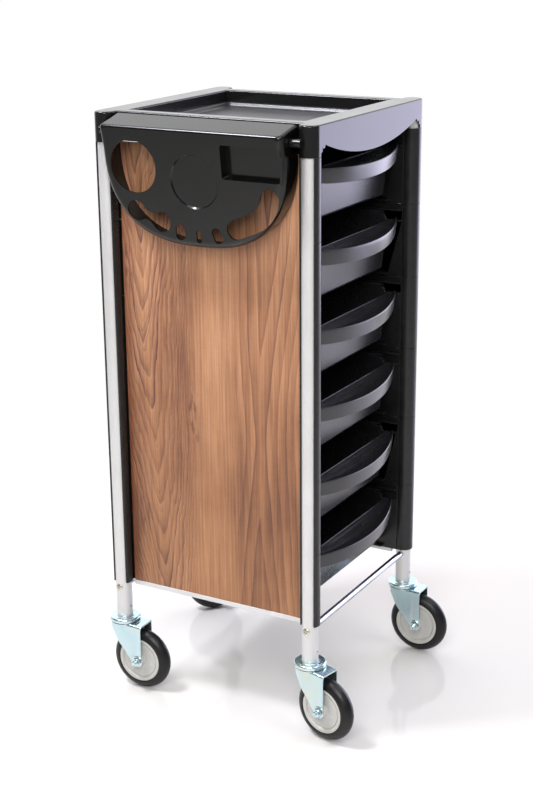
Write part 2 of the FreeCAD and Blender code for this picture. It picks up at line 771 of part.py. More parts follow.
# the top wall slopes up from the face; the open side leans in towards the bottom
s = new_sketch(b, "slope_side", "XZ_Plane")
outline(
    s,
    [
        ("-(flap_face + 1)", "flap_top"),
        ("mouth_top + 1", "mouth_rise"),
        ("mouth_top + 1", "mouth_rise + 6"),
        ("-(flap_face + 1)", "mouth_rise + 6"),
    ],
)
pocket(b, s, "slope", "2 * flap_half + 4", mid=True)
s = new_sketch(b, "top_wall_side", "XZ_Plane")
outline(
    s,
    [
        ("-flap_face", "flap_top"),
        ("-flap_face", "flap_top - flap_skin"),
        ("mouth_top", "mouth_rise - flap_skin - 0.1"),
        ("mouth_top", "mouth_rise - 0.1"),
    ],
)
pad(b, s, "top_wall", "2 * flap_half - 1", mid=True)
s = new_sketch(b, "mouth_side", "XZ_Plane")
outline(
    s,
    [
        ("mouth_top", "-6"),
        ("mouth_top + 2", "-6"),
        ("mouth_top + 2", "-(flap_drop + 24)"),
        ("mouth_low", "-(flap_drop + 24)"),
    ],
)
pocket(b, s, "mouth", "2 * flap_half + 4", mid=True)
# pockets and holders in the face
s = new_sketch(b, "pocket_walls_plan", "YZ_Plane", "-flap_face")
circle(s, "-5", "-57.5", "38.5 + 2.5")
pad(b, s, "pocket_walls", "5")
s = new_sketch(b, "oblong_wall_plan", "YZ_Plane", "-flap_face")
box_outline(s, "-144", "-52.6", "-48.4", "0.2")
pad(b, s, "oblong_wall", "16.4")
s = new_sketch(b, "round_pocket_plan", "YZ_Plane", "-flap_face")
circle(s, "-5", "-57.5", "38.5")
pocket(b, s, "round_pocket", "2.4", reverse=True)
s = new_sketch(b, "oblong_pocket_plan", "YZ_Plane", "-flap_face")
box_outline(s, "-141.6", "-50.2", "-50.8", "-2.2")
pocket(b, s, "oblong_pocket", "14", reverse=True)
s = new_sketch(b, "dryer_hole_plan", "YZ_Plane", "-flap_face")
circle(s, "94.5", "-42.5", "dryer_rad")
pocket(b, s, "dryer_hole", "flap_skin + 1", reverse=True)
s = new_sketch(b, "comb_hole_plan", "YZ_Plane", "-flap_face")
box_outline(s, "-9.5", "-145.5", "-1.5", "-126.5")
pocket(b, s, "comb_hole", "flap_skin + 1", reverse=True)


def stadium(s, y1, z1, y2, z2, rad):
    """Rounded slot between two centres, as a sixteen-sided outline."""
    a = math.atan2(z2 - z1, y2 - y1)
    pts = []
    for (cy, cz), base in (((y2, z2), a - math.pi / 2), ((y1, z1), a + math.pi / 2)):
        for i in range(9):
            t = base + math.pi * i / 8
            pts.append(("%.4f" % (cy + rad * math.cos(t)), "%.4f" % (cz + rad * math.sin(t))))
    outline(s, pts)


for name, (y1, z1, y2, z2, rad) in {
    "brush_left": (95.5, -106.5, 95.4, -106.4, 15.0),
    "brush_mid": (95.5, -107.5, 55.0, -119.0, 6.8),
    "brush_right": (55.0, -120.0, 55.1, -120.1, 15.0),
    "oval_left": (24.6, -128.5, 24.5, -136.5, 7.6),
    "oval_right": (-34.6, -128.6, -37.4, -136.4, 7.4),
    "iron_a": (-123.5, -71.5, -118.3, -87.0, 13.4),
    "iron_b": (-118.3, -87.0, -102.5, -105.0, 14.0),
    "iron_c": (-102.5, -105.0, -66.5, -121.0, 14.2),
}.items():
    s = new_sketch(b, name + "_plan", "YZ_Plane", "-flap_face")
    stadium(s, y1, z1, y2, z2, rad)
    pocket(b, s, name, "flap_skin + 1", reverse=True)
# bores for the hinge pins
s = new_sketch(b, "hinge_bore_plan", "XZ_Plane")
circle(s, "0", "0", "pin_bore")
pocket(b, s, "hinge_bore", "2 * flap_half + 10", mid=True)
place(b, "hinge_x + shift_x", "shift_y", "hinge_z", Vector(0, 1, 0), -D["lean"])

# ---------------------------------------------------------------- hinge pins: two headed pins, one node
pieces = []
for tag, sy in (("front", -1), ("rear", 1)):
    shank = doc.addObject("Part::Cylinder", "pin_shank_" + tag)
    shank.setExpression("Radius", "Dims.pin_rad")
    shank.setExpression("Height", "Dims.post_y - 6 - 141.5")
    head = doc.addObject("Part::Cylinder", "pin_head_" + tag)
    head.Radius = 5.0
    head.Height = 2.0
    for o, y in ((shank, "141.5"), (head, "141.6")):
        place(o, "hinge_x", signed(sy, y), "hinge_z", Vector(1, 0, 0), -90.0 * sy if o is shank else 90.0 * sy)
    one = doc.addObject("Part::MultiFuse", "pin_" + tag)
    one.Shapes = [shank, head]
    pieces.append(one)
g = doc.addObject("Part::Compound", "hinge_pins")
g.Links = pieces
g.Label = "hinge_pins"
stand(g)
NODES.append(g)

# ---------------------------------------------------------------- casters
# Each caster is drawn with its swivel axis on the local Z axis and the wheel trailing towards -Y,
# then turned about Z and set under its post.
for tag, sx, sy, turn in CORNERS:
    # stem with the fixed upper race
    b = new_body("caster_stem_" + tag)
    s = new_sketch(b, "stem_profile_" + tag, "XZ_Plane")
    outline(
        s,
        [
            ("0", "fork_top - fork_plate - 3"),
            ("8", "fork_top - fork_plate - 3"),
            ("8", "fork_top - fork_plate - 0.4"),
            ("5", "fork_top - fork_plate - 0.4"),
            ("5", "fork_top + 5.4"),
            ("race_rad - 2.4", "fork_top + 5.4"),
            ("race_rad - 2.4", "fork_top + 0.8"),
            ("race_rad - 0.6", "fork_top + 0.8"),
            ("race_rad", "fork_top + 1.6"),
            ("race_rad", "fork_top + 5.8"),
            ("race_rad - 2.2", "fork_top + 7.6"),
            ("race_rad - 5", "fork_top + 7"),
            ("race_rad - 7", "fork_top + 6.6"),
            ("15", "fork_top + 6.6"),
            ("stem_rad + 7.4", "fork_top + 7.5"),
            ("stem_rad", "fork_top + 7.5"),
            ("stem_rad", "stem_high"),
            ("0", "stem_high"),
        ],
    )
    f = b.newObject("PartDesign::Revolution", "stem_turned_" + tag)
    f.Profile = s
    f.ReferenceAxis = (s, ["V_Axis"])
    f.Angle = 360.0
    place(
        b,
        signed(sx, "post_x") + " + shift_x",
        signed(sy, "post_y") + " + shift_y",
        "0",
        Vector(0, 0, 1),
        turn,
    )

    # fork: plate with the lower race, two prongs narrowing to the axle
    b = new_body("fork_" + tag)
    s = new_sketch(b, "plate_side_" + tag, "YZ_Plane")
    outline(
        s,
        [
            ("-23", "fork_top - fork_plate"),
            ("15.5", "fork_top - fork_plate"),
            ("15.5", "fork_top"),
            ("-23", "fork_top"),
            ("-(trail + 7.4)", "fork_top - 1"),
            ("-(trail + 7.4)", "fork_top - 1 - fork_plate"),
        ],
    )
    pad(b, s, "plate_" + tag, "2 * prong_out", mid=True)
    s = new_sketch(b, "race_plan_" + tag, "XY_Plane", "fork_top - fork_plate")
    circle(s, "0", "0", "race_rad - 1")
    pad(b, s, "flange_" + tag, "fork_plate")
    s = new_sketch(b, "seat_plan_" + tag, "XY_Plane", "fork_top - 1")
    circle(s, "0", "0", "race_rad - 5.4")
    pad(b, s, "race_" + tag, "2.2")
    for side, px in (("a", -1), ("b", 1)):
        s = new_sketch(b, "prong_side_%s_%s" % (side, tag), "YZ_Plane", signed(px, "prong_out"))
        outline(
            s,
            [
                ("-(trail + 7.2)", "fork_top - 2.4"),
                ("-23", "fork_top - 0.6"),
                ("15.4", "fork_top - 0.6"),
                ("14.6", "fork_top - 8"),
                ("4", "fork_top - 31"),
                ("-2.5", "fork_top - 39"),
                ("-14", "fork_top - 54.5"),
                ("-(trail - 7.2)", "wheel_rad - 3.2"),
                ("-(trail - 3.4)", "wheel_rad - 7"),
                ("-(trail + 3.4)", "wheel_rad - 7"),
                ("-(trail + 7.2)", "wheel_rad - 3.2"),
            ],
        )
        pad(b, s, "prong_%s_%s" % (side, tag), "prong_out - prong_in", reverse=(px > 0))
    s = new_sketch(b, "stem_hole_plan_" + tag, "XY_Plane", "fork_top - fork_plate")
    circle(s, "0", "0", "5.05")
    pocket(b, s, "stem_hole_" + tag, "fork_plate + 3", reverse=True)
    s = new_sketch(b, "axle_hole_plan_" + tag, "YZ_Plane", "-20")
    circle(s, "-trail", "wheel_rad", "axle_rad + 0.05")
    pocket(b, s, "axle_hole_" + tag, "40", reverse=True)
    place(
        b,
        signed(sx, "post_x") + " + shift_x",
        signed(sy, "post_y") + " + shift_y",
        "0",
        Vector(0, 0, 1),
        turn,
    )

    # axle bolt with a hexagon head on the +X side, nut on the -X side
    b = new_body("axle_bolt_" + tag)
    s = new_sketch(b, "bolt_head_plan_" + tag, "YZ_Plane", "prong_out + 0.05")
    hexa = []
    for i in range(6):
        a = math.radians(60 * i + 30)
        hexa.append(("%.4f - trail" % (7.5 * math.cos(a)) if math.cos(a) >= 0 else "-(%.4f + trail)" % (-7.5 * math.cos(a)), "%.4f + wheel_rad" % (7.5 * math.sin(a)) if math.sin(a) >= 0 else "wheel_rad - %.4f" % (-7.5 * math.sin(a))))
    outline(s, hexa)
    pad(b, s, "bolt_head_" + tag, "5")
    s = new_sketch(b, "bolt_shank_plan_" + tag, "YZ_Plane", "prong_out + 1")
    circle(s, "-trail", "wheel_rad", "axle_rad")
    pad(b, s, "bolt_shank_" + tag, "2 * prong_out + 12", reverse=True)
    place(
        b,
        signed(sx, "post_x") + " + shift_x",
        signed(sy, "post_y") + " + shift_y",
        "0",
        Vector(0, 0, 1),
        turn,
    )
    b = new_body("axle_nut_" + tag)
    s = new_sketch(b, "nut_plan_" + tag, "YZ_Plane", "-(prong_out + 0.05)")
    outline(s, hexa)
    circle(s, "-trail", "wheel_rad", "axle_rad + 0.05")
    pad(b, s, "nut_" + tag, "5.5", reverse=True)
    place(
        b,
        signed(sx, "post_x") + " + shift_x",
        signed(sy, "post_y") + " + shift_y",
        "0",
        Vector(0, 0, 1),
        turn,
    )

    # wheel centre, turned about the local X axis
    b = new_body("hub_" + tag)
    s = new_sketch(b, "hub_profile_" + tag, "XY_Plane", "wheel_rad")
    outline(
        s,
        [
            ("-(prong_in - 0.45)", "-(trail - axle_bore)"),
            ("prong_in - 0.45", "-(trail - axle_bore)"),
            ("prong_in - 0.45", "-(trail - 9)"),
            ("9.6", "-(trail - 11)"),
            ("9.6", "-(trail - hub_rad + 5)"),
            ("11.6", "-(trail - hub_rad + 4)"),
            ("11.6", "-(trail - hub_rad)"),
            ("-11.6", "-(trail - hub_rad)"),
            ("-11.6", "-(trail - hub_rad + 4)"),
            ("-9.6", "-(trail - hub_rad + 5)"),
            ("-9.6", "-(trail - 11)"),
            ("-(prong_in - 0.45)", "-(trail - 9)"),
        ],
    )
    axle_line = b.newObject("PartDesign::Line", "hub_axis_" + tag)
    axle_line.AttachmentSupport = [(origin_plane(b, "YZ_Plane"), "")]
    axle_line.MapMode = "ObjectZ"
    axle_line.AttachmentOffset = Placement(Vector(-D["trail"], D["wheel_rad"], 0), Rotation())
    axle_line.setExpression("AttachmentOffset.Base.x", "-Dims.trail")
    axle_line.setExpression("AttachmentOffset.Base.y", "Dims.wheel_rad")
    doc.recompute()
    f = b.newObject("PartDesign::Revolution", "hub_turned_" + tag)
    f.Profile = s
    f.ReferenceAxis = (axle_line, [""])
    f.Angle = 360.0
    place(
        b,
        signed(sx, "post_x") + " + shift_x",
        signed(sy, "post_y") + " + shift_y",
        "0",
        Vector(0, 0, 1),
        turn,
    )

    b = new_body("tyre_" + tag)
    s = new_sketch(b, "tyre_profile_" + tag, "XY_Plane", "wheel_rad")
    outline(
        s,
        [
            ("-wheel_half", "-(trail - hub_rad)"),
            ("wheel_half", "-(trail - hub_rad)"),
            ("wheel_half", "-(trail - wheel_rad + 11.5)"),
            ("wheel_half - 1.4", "-(trail - wheel_rad + 7)"),
            ("wheel_half - 4.4", "-(trail - wheel_rad + 3.2)"),
            ("wheel_half - 8.2", "-(trail - wheel_rad + 0.8)"),
            ("1.4", "-(trail - wheel_rad)"),
            ("-1.4", "-(trail - wheel_rad)"),
            ("-(wheel_half - 8.2)", "-(trail - wheel_rad + 0.8)"),
            ("-(wheel_half - 4.4)", "-(trail - wheel_rad + 3.2)"),
            ("-(wheel_half - 1.4)", "-(trail - wheel_rad + 7)"),
            ("-wheel_half", "-(trail - wheel_rad + 11.5)"),
        ],
    )
    tyre_line = b.newObject("PartDesign::Line", "tyre_axis_" + tag)
    tyre_line.AttachmentSupport = [(origin_plane(b, "YZ_Plane"), "")]
    tyre_line.MapMode = "ObjectZ"
    tyre_line.AttachmentOffset = Placement(Vector(-D["trail"], D["wheel_rad"], 0), Rotation())
    tyre_line.setExpression("AttachmentOffset.Base.x", "-Dims.trail")
    tyre_line.setExpression("AttachmentOffset.Base.y", "Dims.wheel_rad")
    doc.recompute()
    f = b.newObject("PartDesign::Revolution", "tyre_turned_" + tag)
    f.Profile = s
    f.ReferenceAxis = (tyre_line, [""])
    f.Angle = 360.0
    place(
        b,
        signed(sx, "post_x") + " + shift_x",
        signed(sy, "post_y") + " + shift_y",
        "0",
        Vector(0, 0, 1),
        turn,
    )

# ---------------------------------------------------------------- sleeves that hold the stems, one node
pieces = []
for tag, sx, sy, turn in CORNERS:
    outer = doc.addObject("Part::Cylinder", "sleeve_outer_" + tag)
    outer.setExpression("Radius", "Dims.post_rad - Dims.post_wall - 0.05")
    outer.setExpression("Height", "Dims.stem_high - Dims.post_low - 2")
    inner = doc.addObject("Part::Cylinder", "sleeve_inner_" + tag)
    inner.setExpression("Radius", "Dims.stem_rad + 0.05")
    inner.setExpression("Height", "Dims.stem_high - Dims.post_low")
    for o in (outer, inner):
        place(o, signed(sx, "post_x"), signed(sy, "post_y"), "post_low + 0.1")
    one = doc.addObject("Part::Cut", "sleeve_" + tag)
    one.Base = outer
    one.Tool = inner
    pieces.append(one)
g = doc.addObject("Part::Compound", "stem_sockets")
g.Links = pieces
g.Label = "stem_sockets"
stand(g)
NODES.append(g)

# ---------------------------------------------------------------- bearing balls of the four swivels, one node
pieces = []
for tag, sx, sy, turn in CORNERS:
    for i in range(12):
        ball = doc.addObject("Part::Sphere", "ball_%s_%d" % (tag, i))
        ball.setExpression("Radius", "Dims.ball_rad")
        a = math.radians(30 * i)
        place(
            ball,
            "%s + %.6f * ball_ring" % (signed(sx, "post_x"), math.cos(a)) if math.cos(a) >= 0 else "%s - %.6f * ball_ring" % (signed(sx, "post_x"), -math.cos(a)),
            "%s + %.6f * ball_ring" % (signed(sy, "post_y"), math.sin(a)) if math.sin(a) >= 0 else "%s - %.6f * ball_ring" % (signed(sy, "post_y"), -math.sin(a)),
            "fork_top + 3.3",
        )
        pieces.append(ball)
g = doc.addObject("Part::Compound", "swivel_balls")
g.Links = pieces
g.Label = "swivel_balls"
stand(g)
NODES.append(g)

# ---------------------------------------------------------------- check and write
doc.recompute()
bad = []
for o in doc.Objects:
    if "Invalid" in o.State or "Error" in o.State:
        bad.append("%s %s" % (o.Name, o.State))
for o in NODES:
    if o.Shape.isNull() or not o.Shape.isValid() or not o.Shape.Solids:
        bad.append("%s has no valid shape" % o.Label)
if bad:
    raise RuntimeError("; ".join(bad))
os.makedirs("parts", exist_ok=True)
for old in os.listdir("parts"):
    if old.endswith(".step"):
        os.remove(os.path.join("parts", old))
for o in NODES:
    o.Shape.exportStep(os.path.join("parts", o.Label + ".step"))
print("%d nodes written" % len(NODES))
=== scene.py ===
import math

import bmesh
import bpy
from mathutils import Matrix, Vector


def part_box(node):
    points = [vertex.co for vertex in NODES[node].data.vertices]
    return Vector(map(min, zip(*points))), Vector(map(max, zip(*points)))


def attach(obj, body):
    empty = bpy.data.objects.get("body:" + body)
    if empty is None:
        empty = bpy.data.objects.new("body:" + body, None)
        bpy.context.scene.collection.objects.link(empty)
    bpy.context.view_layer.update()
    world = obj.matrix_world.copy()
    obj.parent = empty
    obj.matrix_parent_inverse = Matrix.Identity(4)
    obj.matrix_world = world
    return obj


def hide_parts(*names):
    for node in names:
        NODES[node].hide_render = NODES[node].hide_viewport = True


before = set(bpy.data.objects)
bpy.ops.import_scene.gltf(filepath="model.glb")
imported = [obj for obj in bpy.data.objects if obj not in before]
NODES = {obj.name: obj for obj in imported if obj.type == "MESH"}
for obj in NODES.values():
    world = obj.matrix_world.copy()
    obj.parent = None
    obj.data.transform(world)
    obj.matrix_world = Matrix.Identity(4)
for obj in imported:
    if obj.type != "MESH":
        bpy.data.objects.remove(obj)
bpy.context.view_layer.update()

MM = 0.001
TAGS = ["front_left", "rear_left", "front_right", "rear_right"]


def span(node):
    lo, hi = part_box(node)
    return lo, hi, (lo + hi) / 2


# The posts' centre line is the middle of the design; everything below is in mm about it.
POST = {t: span("post_" + t)[2] for t in TAGS}
CX = sum(p.x for p in POST.values()) / 4
CY = sum(p.y for p in POST.values()) / 4
PX = (POST["front_right"].x - POST["front_left"].x) / 2 / MM
PY = (POST["rear_left"].y - POST["front_left"].y) / 2 / MM


def at(x, y, z):
    return Vector((CX + x * MM, CY + y * MM, z * MM))


# ------------------------------------------------------------------ mesh helpers
def loft(bm, rings, closed=True, cap0=True, cap1=True):
    """Quads between rings of the same length; the ends are filled."""
    rows = [[bm.verts.new(p) for p in r] for r in rings]
    n = len(rows[0])
    for a, b in zip(rows, rows[1:]):
        for j in range(n if closed else n - 1):
            k = (j + 1) % n
            bm.faces.new((a[j], a[k], b[k], b[j]))
    if cap0:
        bm.faces.new(list(reversed(rows[0])))
    if cap1:
        bm.faces.new(rows[-1])
    return rows


def wheel_rings(bm, profile, origin, axis, side, steps=72):
    """Closed ring turned about an axis: profile is a closed list of (along, radius) in mm."""
    axis = axis.normalized()
    side = (side - axis * side.dot(axis)).normalized()
    third = axis.cross(side)
    rows = []
    for i in range(steps):
        a = 2 * math.pi * i / steps
        d = side * math.cos(a) + third * math.sin(a)
        rows.append([origin + axis * (h * MM) + d * (r * MM) for h, r in profile])
    vs = [[bm.verts.new(p) for p in row] for row in rows]
    n = len(profile)
    for i in range(steps):
        a, b = vs[i], vs[(i + 1) % steps]
        for j in range(n):
            k = (j + 1) % n
            bm.faces.new((a[j], b[j], b[k], a[k]))
    return vs


def turned(bm, profile, origin, axis, side, steps=48):
    """Solid of revolution: profile is an open list of (along, radius); its ends are closed with a cap."""
    axis = axis.normalized()
    side = (side - axis * side.dot(axis)).normalized()
    third = axis.cross(side)
    rings = []
    for h, r in profile:
        rings.append(
            [
                origin
                + axis * (h * MM)
                + (side * math.cos(2 * math.pi * i / steps) + third * math.sin(2 * math.pi * i / steps))
                * (max(r, 0.02) * MM)
                for i in range(steps)
            ]
        )
    return loft(bm, rings)


def round_rect(x0, y0, x1, y1, radii, seg=6):
    """Corner radii in the order (x0,y0) (x1,y0) (x1,y1) (x0,y1)."""
    if not isinstance(radii, (list, tuple)):
        radii = [radii] * 4
    out = []
    corners = [
        (x0 + radii[0], y0 + radii[0], 180, radii[0]),
        (x1 - radii[1], y0 + radii[1], 270, radii[1]),
        (x1 - radii[2], y1 - radii[2], 0, radii[2]),
        (x0 + radii[3], y1 - radii[3], 90, radii[3]),
    ]
    for cx, cy, a0, r in corners:
        for i in range(seg + 1):
            a = math.radians(a0 + 90 * i / seg)
            out.append((cx + r * math.cos(a), cy + r * math.sin(a)))
    return out


def bake(ob):
    bpy.context.view_layer.update()
    dg = bpy.context.evaluated_depsgraph_get()
    me = bpy.data.meshes.new_from_object(ob.evaluated_get(dg))
    old = ob.data
    ob.modifiers.clear()
    ob.data = me
    me.name = ob.name
    if old.users == 0:
        bpy.data.meshes.remove(old)
    return ob


def as_object(name, bm, weld=True):
    if weld:
        bmesh.ops.remove_doubles(bm, verts=bm.verts, dist=2e-6)
    bmesh.ops.recalc_face_normals(bm, faces=bm.faces)
    me = bpy.data.meshes.new(name)
    bm.to_mesh(me)
    bm.free()
    ob = bpy.data.objects.new(name, me)
    bpy.context.scene.collection.objects.link(ob)
    return ob


def cut(ob, tools, how="DIFFERENCE"):
    for t in tools:
        m = ob.modifiers.new("cut", "BOOLEAN")
        m.operation = how
        m.solver = "EXACT"
        m.object = t
    bake(ob)
    for t in tools:
        me = t.data
        bpy.data.objects.remove(t)
        bpy.data.meshes.remove(me)
    return ob


def soften(ob, width, seg=2, angle=32, smooth=34, weighted=True):
    if width:
        m = ob.modifiers.new("edge", "BEVEL")
        m.width = width * MM
        m.segments = seg
        m.limit_method = "ANGLE"
        m.angle_limit = math.radians(angle)
        m.use_clamp_overlap = True
        m.miter_outer = "MITER_ARC"
        bake(ob)
    ob.data.polygons.foreach_set("use_smooth", [True] * len(ob.data.polygons))
    ob.data.set_sharp_from_angle(angle=math.radians(smooth))
    if weighted:
        w = ob.modifiers.new("normals", "WEIGHTED_NORMAL")
        w.keep_sharp = True
    return ob


def piece(ob, body, mat, slot, *stands):
    ob.data.materials.clear()
    ob.data.materials.append(mat)
    for p in ob.data.polygons:
        p.material_index = 0
    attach(ob, body)
    if stands:
        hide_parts(*stands)
    return ob


def from_node(node, angle=0.8):
    """The CAD shape as a clean mesh of its own, flat regions joined."""
    bm = bmesh.new()
    bm.from_mesh(NODES[node].data)
    bmesh.ops.remove_doubles(bm, verts=bm.verts, dist=3e-6)
    bmesh.ops.dissolve_limit(
        bm, angle_limit=math.radians(angle), verts=bm.verts, edges=bm.edges, use_dissolve_boundaries=False
    )
    return bm


def prism(outline, place, d0, d1, inset=0.0, extra=None):
    """Solid between two depths of a 2D outline; place(depth, u, v) gives the point. The far end is drawn in by inset."""
    cu = sum(p[0] for p in outline) / len(outline)
    cv = sum(p[1] for p in outline) / len(outline)

    def shrink(p, t):
        du, dv = p[0] - cu, p[1] - cv
        r = math.hypot(du, dv) or 1
        k = max(0.0, (r - t) / r)
        return (cu + du * k, cv + dv * k)

    bm = bmesh.new()
    loft(
        bm,
        [
            [place(d0, *shrink(p, 0)) for p in outline],
            [place(d1, *shrink(p, inset)) for p in outline],
        ],
    )
    return as_object("tool", bm)


# ------------------------------------------------------------------ materials
class Tree:
    def __init__(self, name):
        self.mat = bpy.data.materials.new(name)
        self.mat.use_nodes = True
        self.nt = self.mat.node_tree
        self.nt.nodes.clear()
        self.out = self.nt.nodes.new("ShaderNodeOutputMaterial")
        self.bsdf = self.nt.nodes.new("ShaderNodeBsdfPrincipled")
        self.nt.links.new(self.bsdf.outputs[0], self.out.inputs[0])
        self.co = self.nt.nodes.new("ShaderNodeTexCoord").outputs["Object"]

    def put(self, sock, v):
        if isinstance(v, bpy.types.NodeSocket):
            self.nt.links.new(v, sock)
        else:
            sock.default_value = v

    def node(self, kind, outputs=0, props=None, **ins):
        n = self.nt.nodes.new(kind)
        for k, v in (props or {}).items():
            setattr(n, k, v)
        for k, v in ins.items():
            sock = n.inputs[int(k[1:])] if k[0] == "i" and k[1:].isdigit() else n.inputs[k.replace("_", " ")]
            self.put(sock, v)
        return n.outputs[outputs]

    def noise(self, scale, detail=4.0, rough=0.5, vec=None, distortion=0.0, out=0):
        return self.node(
            "ShaderNodeTexNoise",
            out,
            Vector=vec if vec is not None else self.co,
            Scale=scale,
            Detail=detail,
            Roughness=rough,
            Distortion=distortion,
        )

    def math(self, op, a, b=0.0, c=0.0, clamp=False):
        n = self.nt.nodes.new("ShaderNodeMath")
        n.operation = op
        n.use_clamp = clamp
        self.put(n.inputs[0], a)
        self.put(n.inputs[1], b)
        self.put(n.inputs[2], c)
        return n.outputs[0]

    def stretch(self, x, y, z, vec=None):
        return self.node(
            "ShaderNodeMapping", Vector=vec if vec is not None else self.co, Scale=(x, y, z)
        )

    def ramp(self, fac, stops, mode="LINEAR"):
        n = self.nt.nodes.new("ShaderNodeValToRGB")
        n.color_ramp.interpolation = mode
        el = n.color_ramp.elements
        while len(el) > 1:
            el.remove(el[-1])
        el[0].position, el[0].color = stops[0][0], stops[0][1]
        for pos, col in stops[1:]:
            e = el.new(pos)
            e.color = col
        self.put(n.inputs[0], fac)
        return n.outputs[0]

    def grey(self, fac, lo, hi, a=0.0, b=1.0):
        n = self.nt.nodes.new("ShaderNodeMapRange")
        self.put(n.inputs[0], fac)
        for i, v in enumerate((a, b, lo, hi), start=1):
            n.inputs[i].default_value = v
        return n.outputs[0]

    def mix(self, fac, a, b, mode="MIX"):
        n = self.nt.nodes.new("ShaderNodeMix")
        n.data_type = "RGBA"
        n.blend_type = mode
        self.put(n.inputs[0], fac)
        self.put(n.inputs[6], a)
        self.put(n.inputs[7], b)
        return n.outputs[2]

    def bump(self, height, strength, distance, normal=None):
        ins = {"Strength": strength, "Distance": distance, "Height": height}
        if normal is not None:
            ins["Normal"] = normal
        return self.node("ShaderNodeBump", **ins)

    def edge(self, lo=0.52, hi=0.6):
        p = self.node("ShaderNodeNewGeometry", "Pointiness")
        return self.grey(p, 0.0, 1.0, lo, hi)

    def set(self, **ins):
        for k, v in ins.items():
            self.put(self.bsdf.inputs[k.replace("_", " ")], v)
        return self.mat


def rgb(r, g, b):
    """sRGB 0..255 to a linear colour."""

    def lin(c):
        c /= 255.0
        return c / 12.92 if c <= 0.04045 else ((c + 0.055) / 1.055) ** 2.4

    return (lin(r), lin(g), lin(b), 1.0)


def moulded_plastic(name, base, light, rough=(0.30, 0.42), grain=0.05, wave=0.06, spec=0.5, coat=0.0):
    """Injection moulded plastic: fine spark-eroded grain, slow flow waviness, dust in the grain, edges a little
    polished by wear and lightened in colour as a painted highlight.
    """
    t = Tree(name)
    slow = t.noise(9.0, 3.0, 0.5)
    mid = t.noise(60.0, 4.0, 0.55)
    fine = t.noise(1500.0, 3.0, 0.6)
    speck = t.noise(420.0, 2.0, 0.4)
    col = t.mix(t.grey(mid, 0.0, 1.0, 0.35, 0.7), base, light)
    # painted highlight mixed with wear: edges found by pointiness, patchy with noise, are lightened in colour and made
    # a little less rough
    worn_edge_and_highlight = t.math("MULTIPLY", t.edge(), t.grey(t.noise(140.0, 3.0), 0.2, 1.0, 0.35, 0.65), clamp=True)
    col = t.mix(t.math("MULTIPLY", worn_edge_and_highlight, 0.35), col, (light[0] * 3.2, light[1] * 3.2, light[2] * 3.3, 1))
    dust = t.grey(speck, 0.0, 1.0, 0.72, 0.8)
    col = t.mix(t.math("MULTIPLY", dust, 0.03), col, (0.10, 0.10, 0.10, 1))
    r = t.math("ADD", t.grey(slow, rough[0], rough[1], 0.3, 0.7), t.grey(speck, -0.006, 0.010, 0.3, 0.75))
    r = t.math("SUBTRACT", r, t.math("MULTIPLY", worn_edge_and_highlight, 0.06))
    b1 = t.bump(fine, grain, 0.00012)
    b2 = t.bump(t.noise(22.0, 2.0, 0.4), wave, 0.0012, b1)
    mat = t.set(Base_Color=col, Roughness=r, Normal=b2)
    t.bsdf.inputs["Specular IOR Level"].default_value = spec
    t.bsdf.inputs["Coat Weight"].default_value = coat
    t.bsdf.inputs["Coat Roughness"].default_value = 0.18
    return mat


BLACK = moulded_plastic("frame_plastic", (0.0045, 0.0045, 0.0047, 1), (0.0065, 0.0064, 0.0064, 1), (0.19, 0.25), 0.03, 0.05, 0.405)
TRAY = moulded_plastic("tray_plastic", (0.0022, 0.0021, 0.0020, 1), (0.0030, 0.0029, 0.0027, 1), (0.14, 0.18), 0.012, 0.025, 0.44)
INSERT = moulded_plastic("insert_plastic", (0.0120, 0.0118, 0.0142, 1), (0.0155, 0.0152, 0.0182, 1), (0.30, 0.35), 0.004, 0.02, 0.55)
BIN = moulded_plastic("drawer_plastic", (0.0150, 0.0147, 0.0166, 1), (0.0185, 0.0181, 0.0205, 1), (0.23, 0.28), 0.008, 0.04, 0.60)
CLIP = moulded_plastic("runner_plastic", (0.008, 0.0078, 0.0078, 1), (0.0125, 0.0123, 0.0122, 1), (0.28, 0.36), 0.06, 0.05, 0.4)
SLEEVE = moulded_plastic("sleeve_plastic", (0.02, 0.02, 0.02, 1), (0.03, 0.03, 0.03, 1), (0.45, 0.6))


def tube_metal():
    """Satin tube: fine drawing lines along the tube, faint handling marks."""
    t = Tree("tube_aluminium")
    lines = t.noise(900.0, 3.0, 0.6, t.stretch(1.0, 1.0, 0.012))
    slow = t.noise(14.0, 3.0, 0.5)
    smear = t.noise(70.0, 5.0, 0.6, t.stretch(1.0, 1.0, 0.3))
    col = t.mix(t.grey(slow, 0.0, 1.0, 0.3, 0.7), rgb(214, 214, 213), rgb(221, 221, 222))
    col = t.mix(t.grey(lines, 0.0, 0.10, 0.35, 0.7), col, rgb(186, 186, 184))
    r = t.math("ADD", t.grey(smear, 0.34, 0.44, 0.3, 0.7), t.grey(lines, -0.02, 0.03, 0.3, 0.7))
    n = t.bump(lines, 0.05, 0.00005)
    return t.set(Base_Color=col, Metallic=0.55, Roughness=r, Normal=n)


def polished_metal():
    """Chromed rail: near mirror, with fine polishing haze and a few water marks."""
    t = Tree("chrome_steel")
    haze = t.noise(220.0, 4.0, 0.6, t.stretch(0.05, 1.0, 1.0))
    spots = t.noise(130.0, 2.0, 0.4)
    col = t.mix(t.grey(spots, 0.0, 1.0, 0.6, 0.75), rgb(172, 173, 185), rgb(158, 159, 170))
    r = t.math("ADD", t.grey(haze, 0.05, 0.13, 0.3, 0.7), t.grey(spots, 0.0, 0.08, 0.6, 0.8))
    return t.set(Base_Color=col, Metallic=1.0, Roughness=r, Normal=t.bump(haze, 0.08, 0.00005))


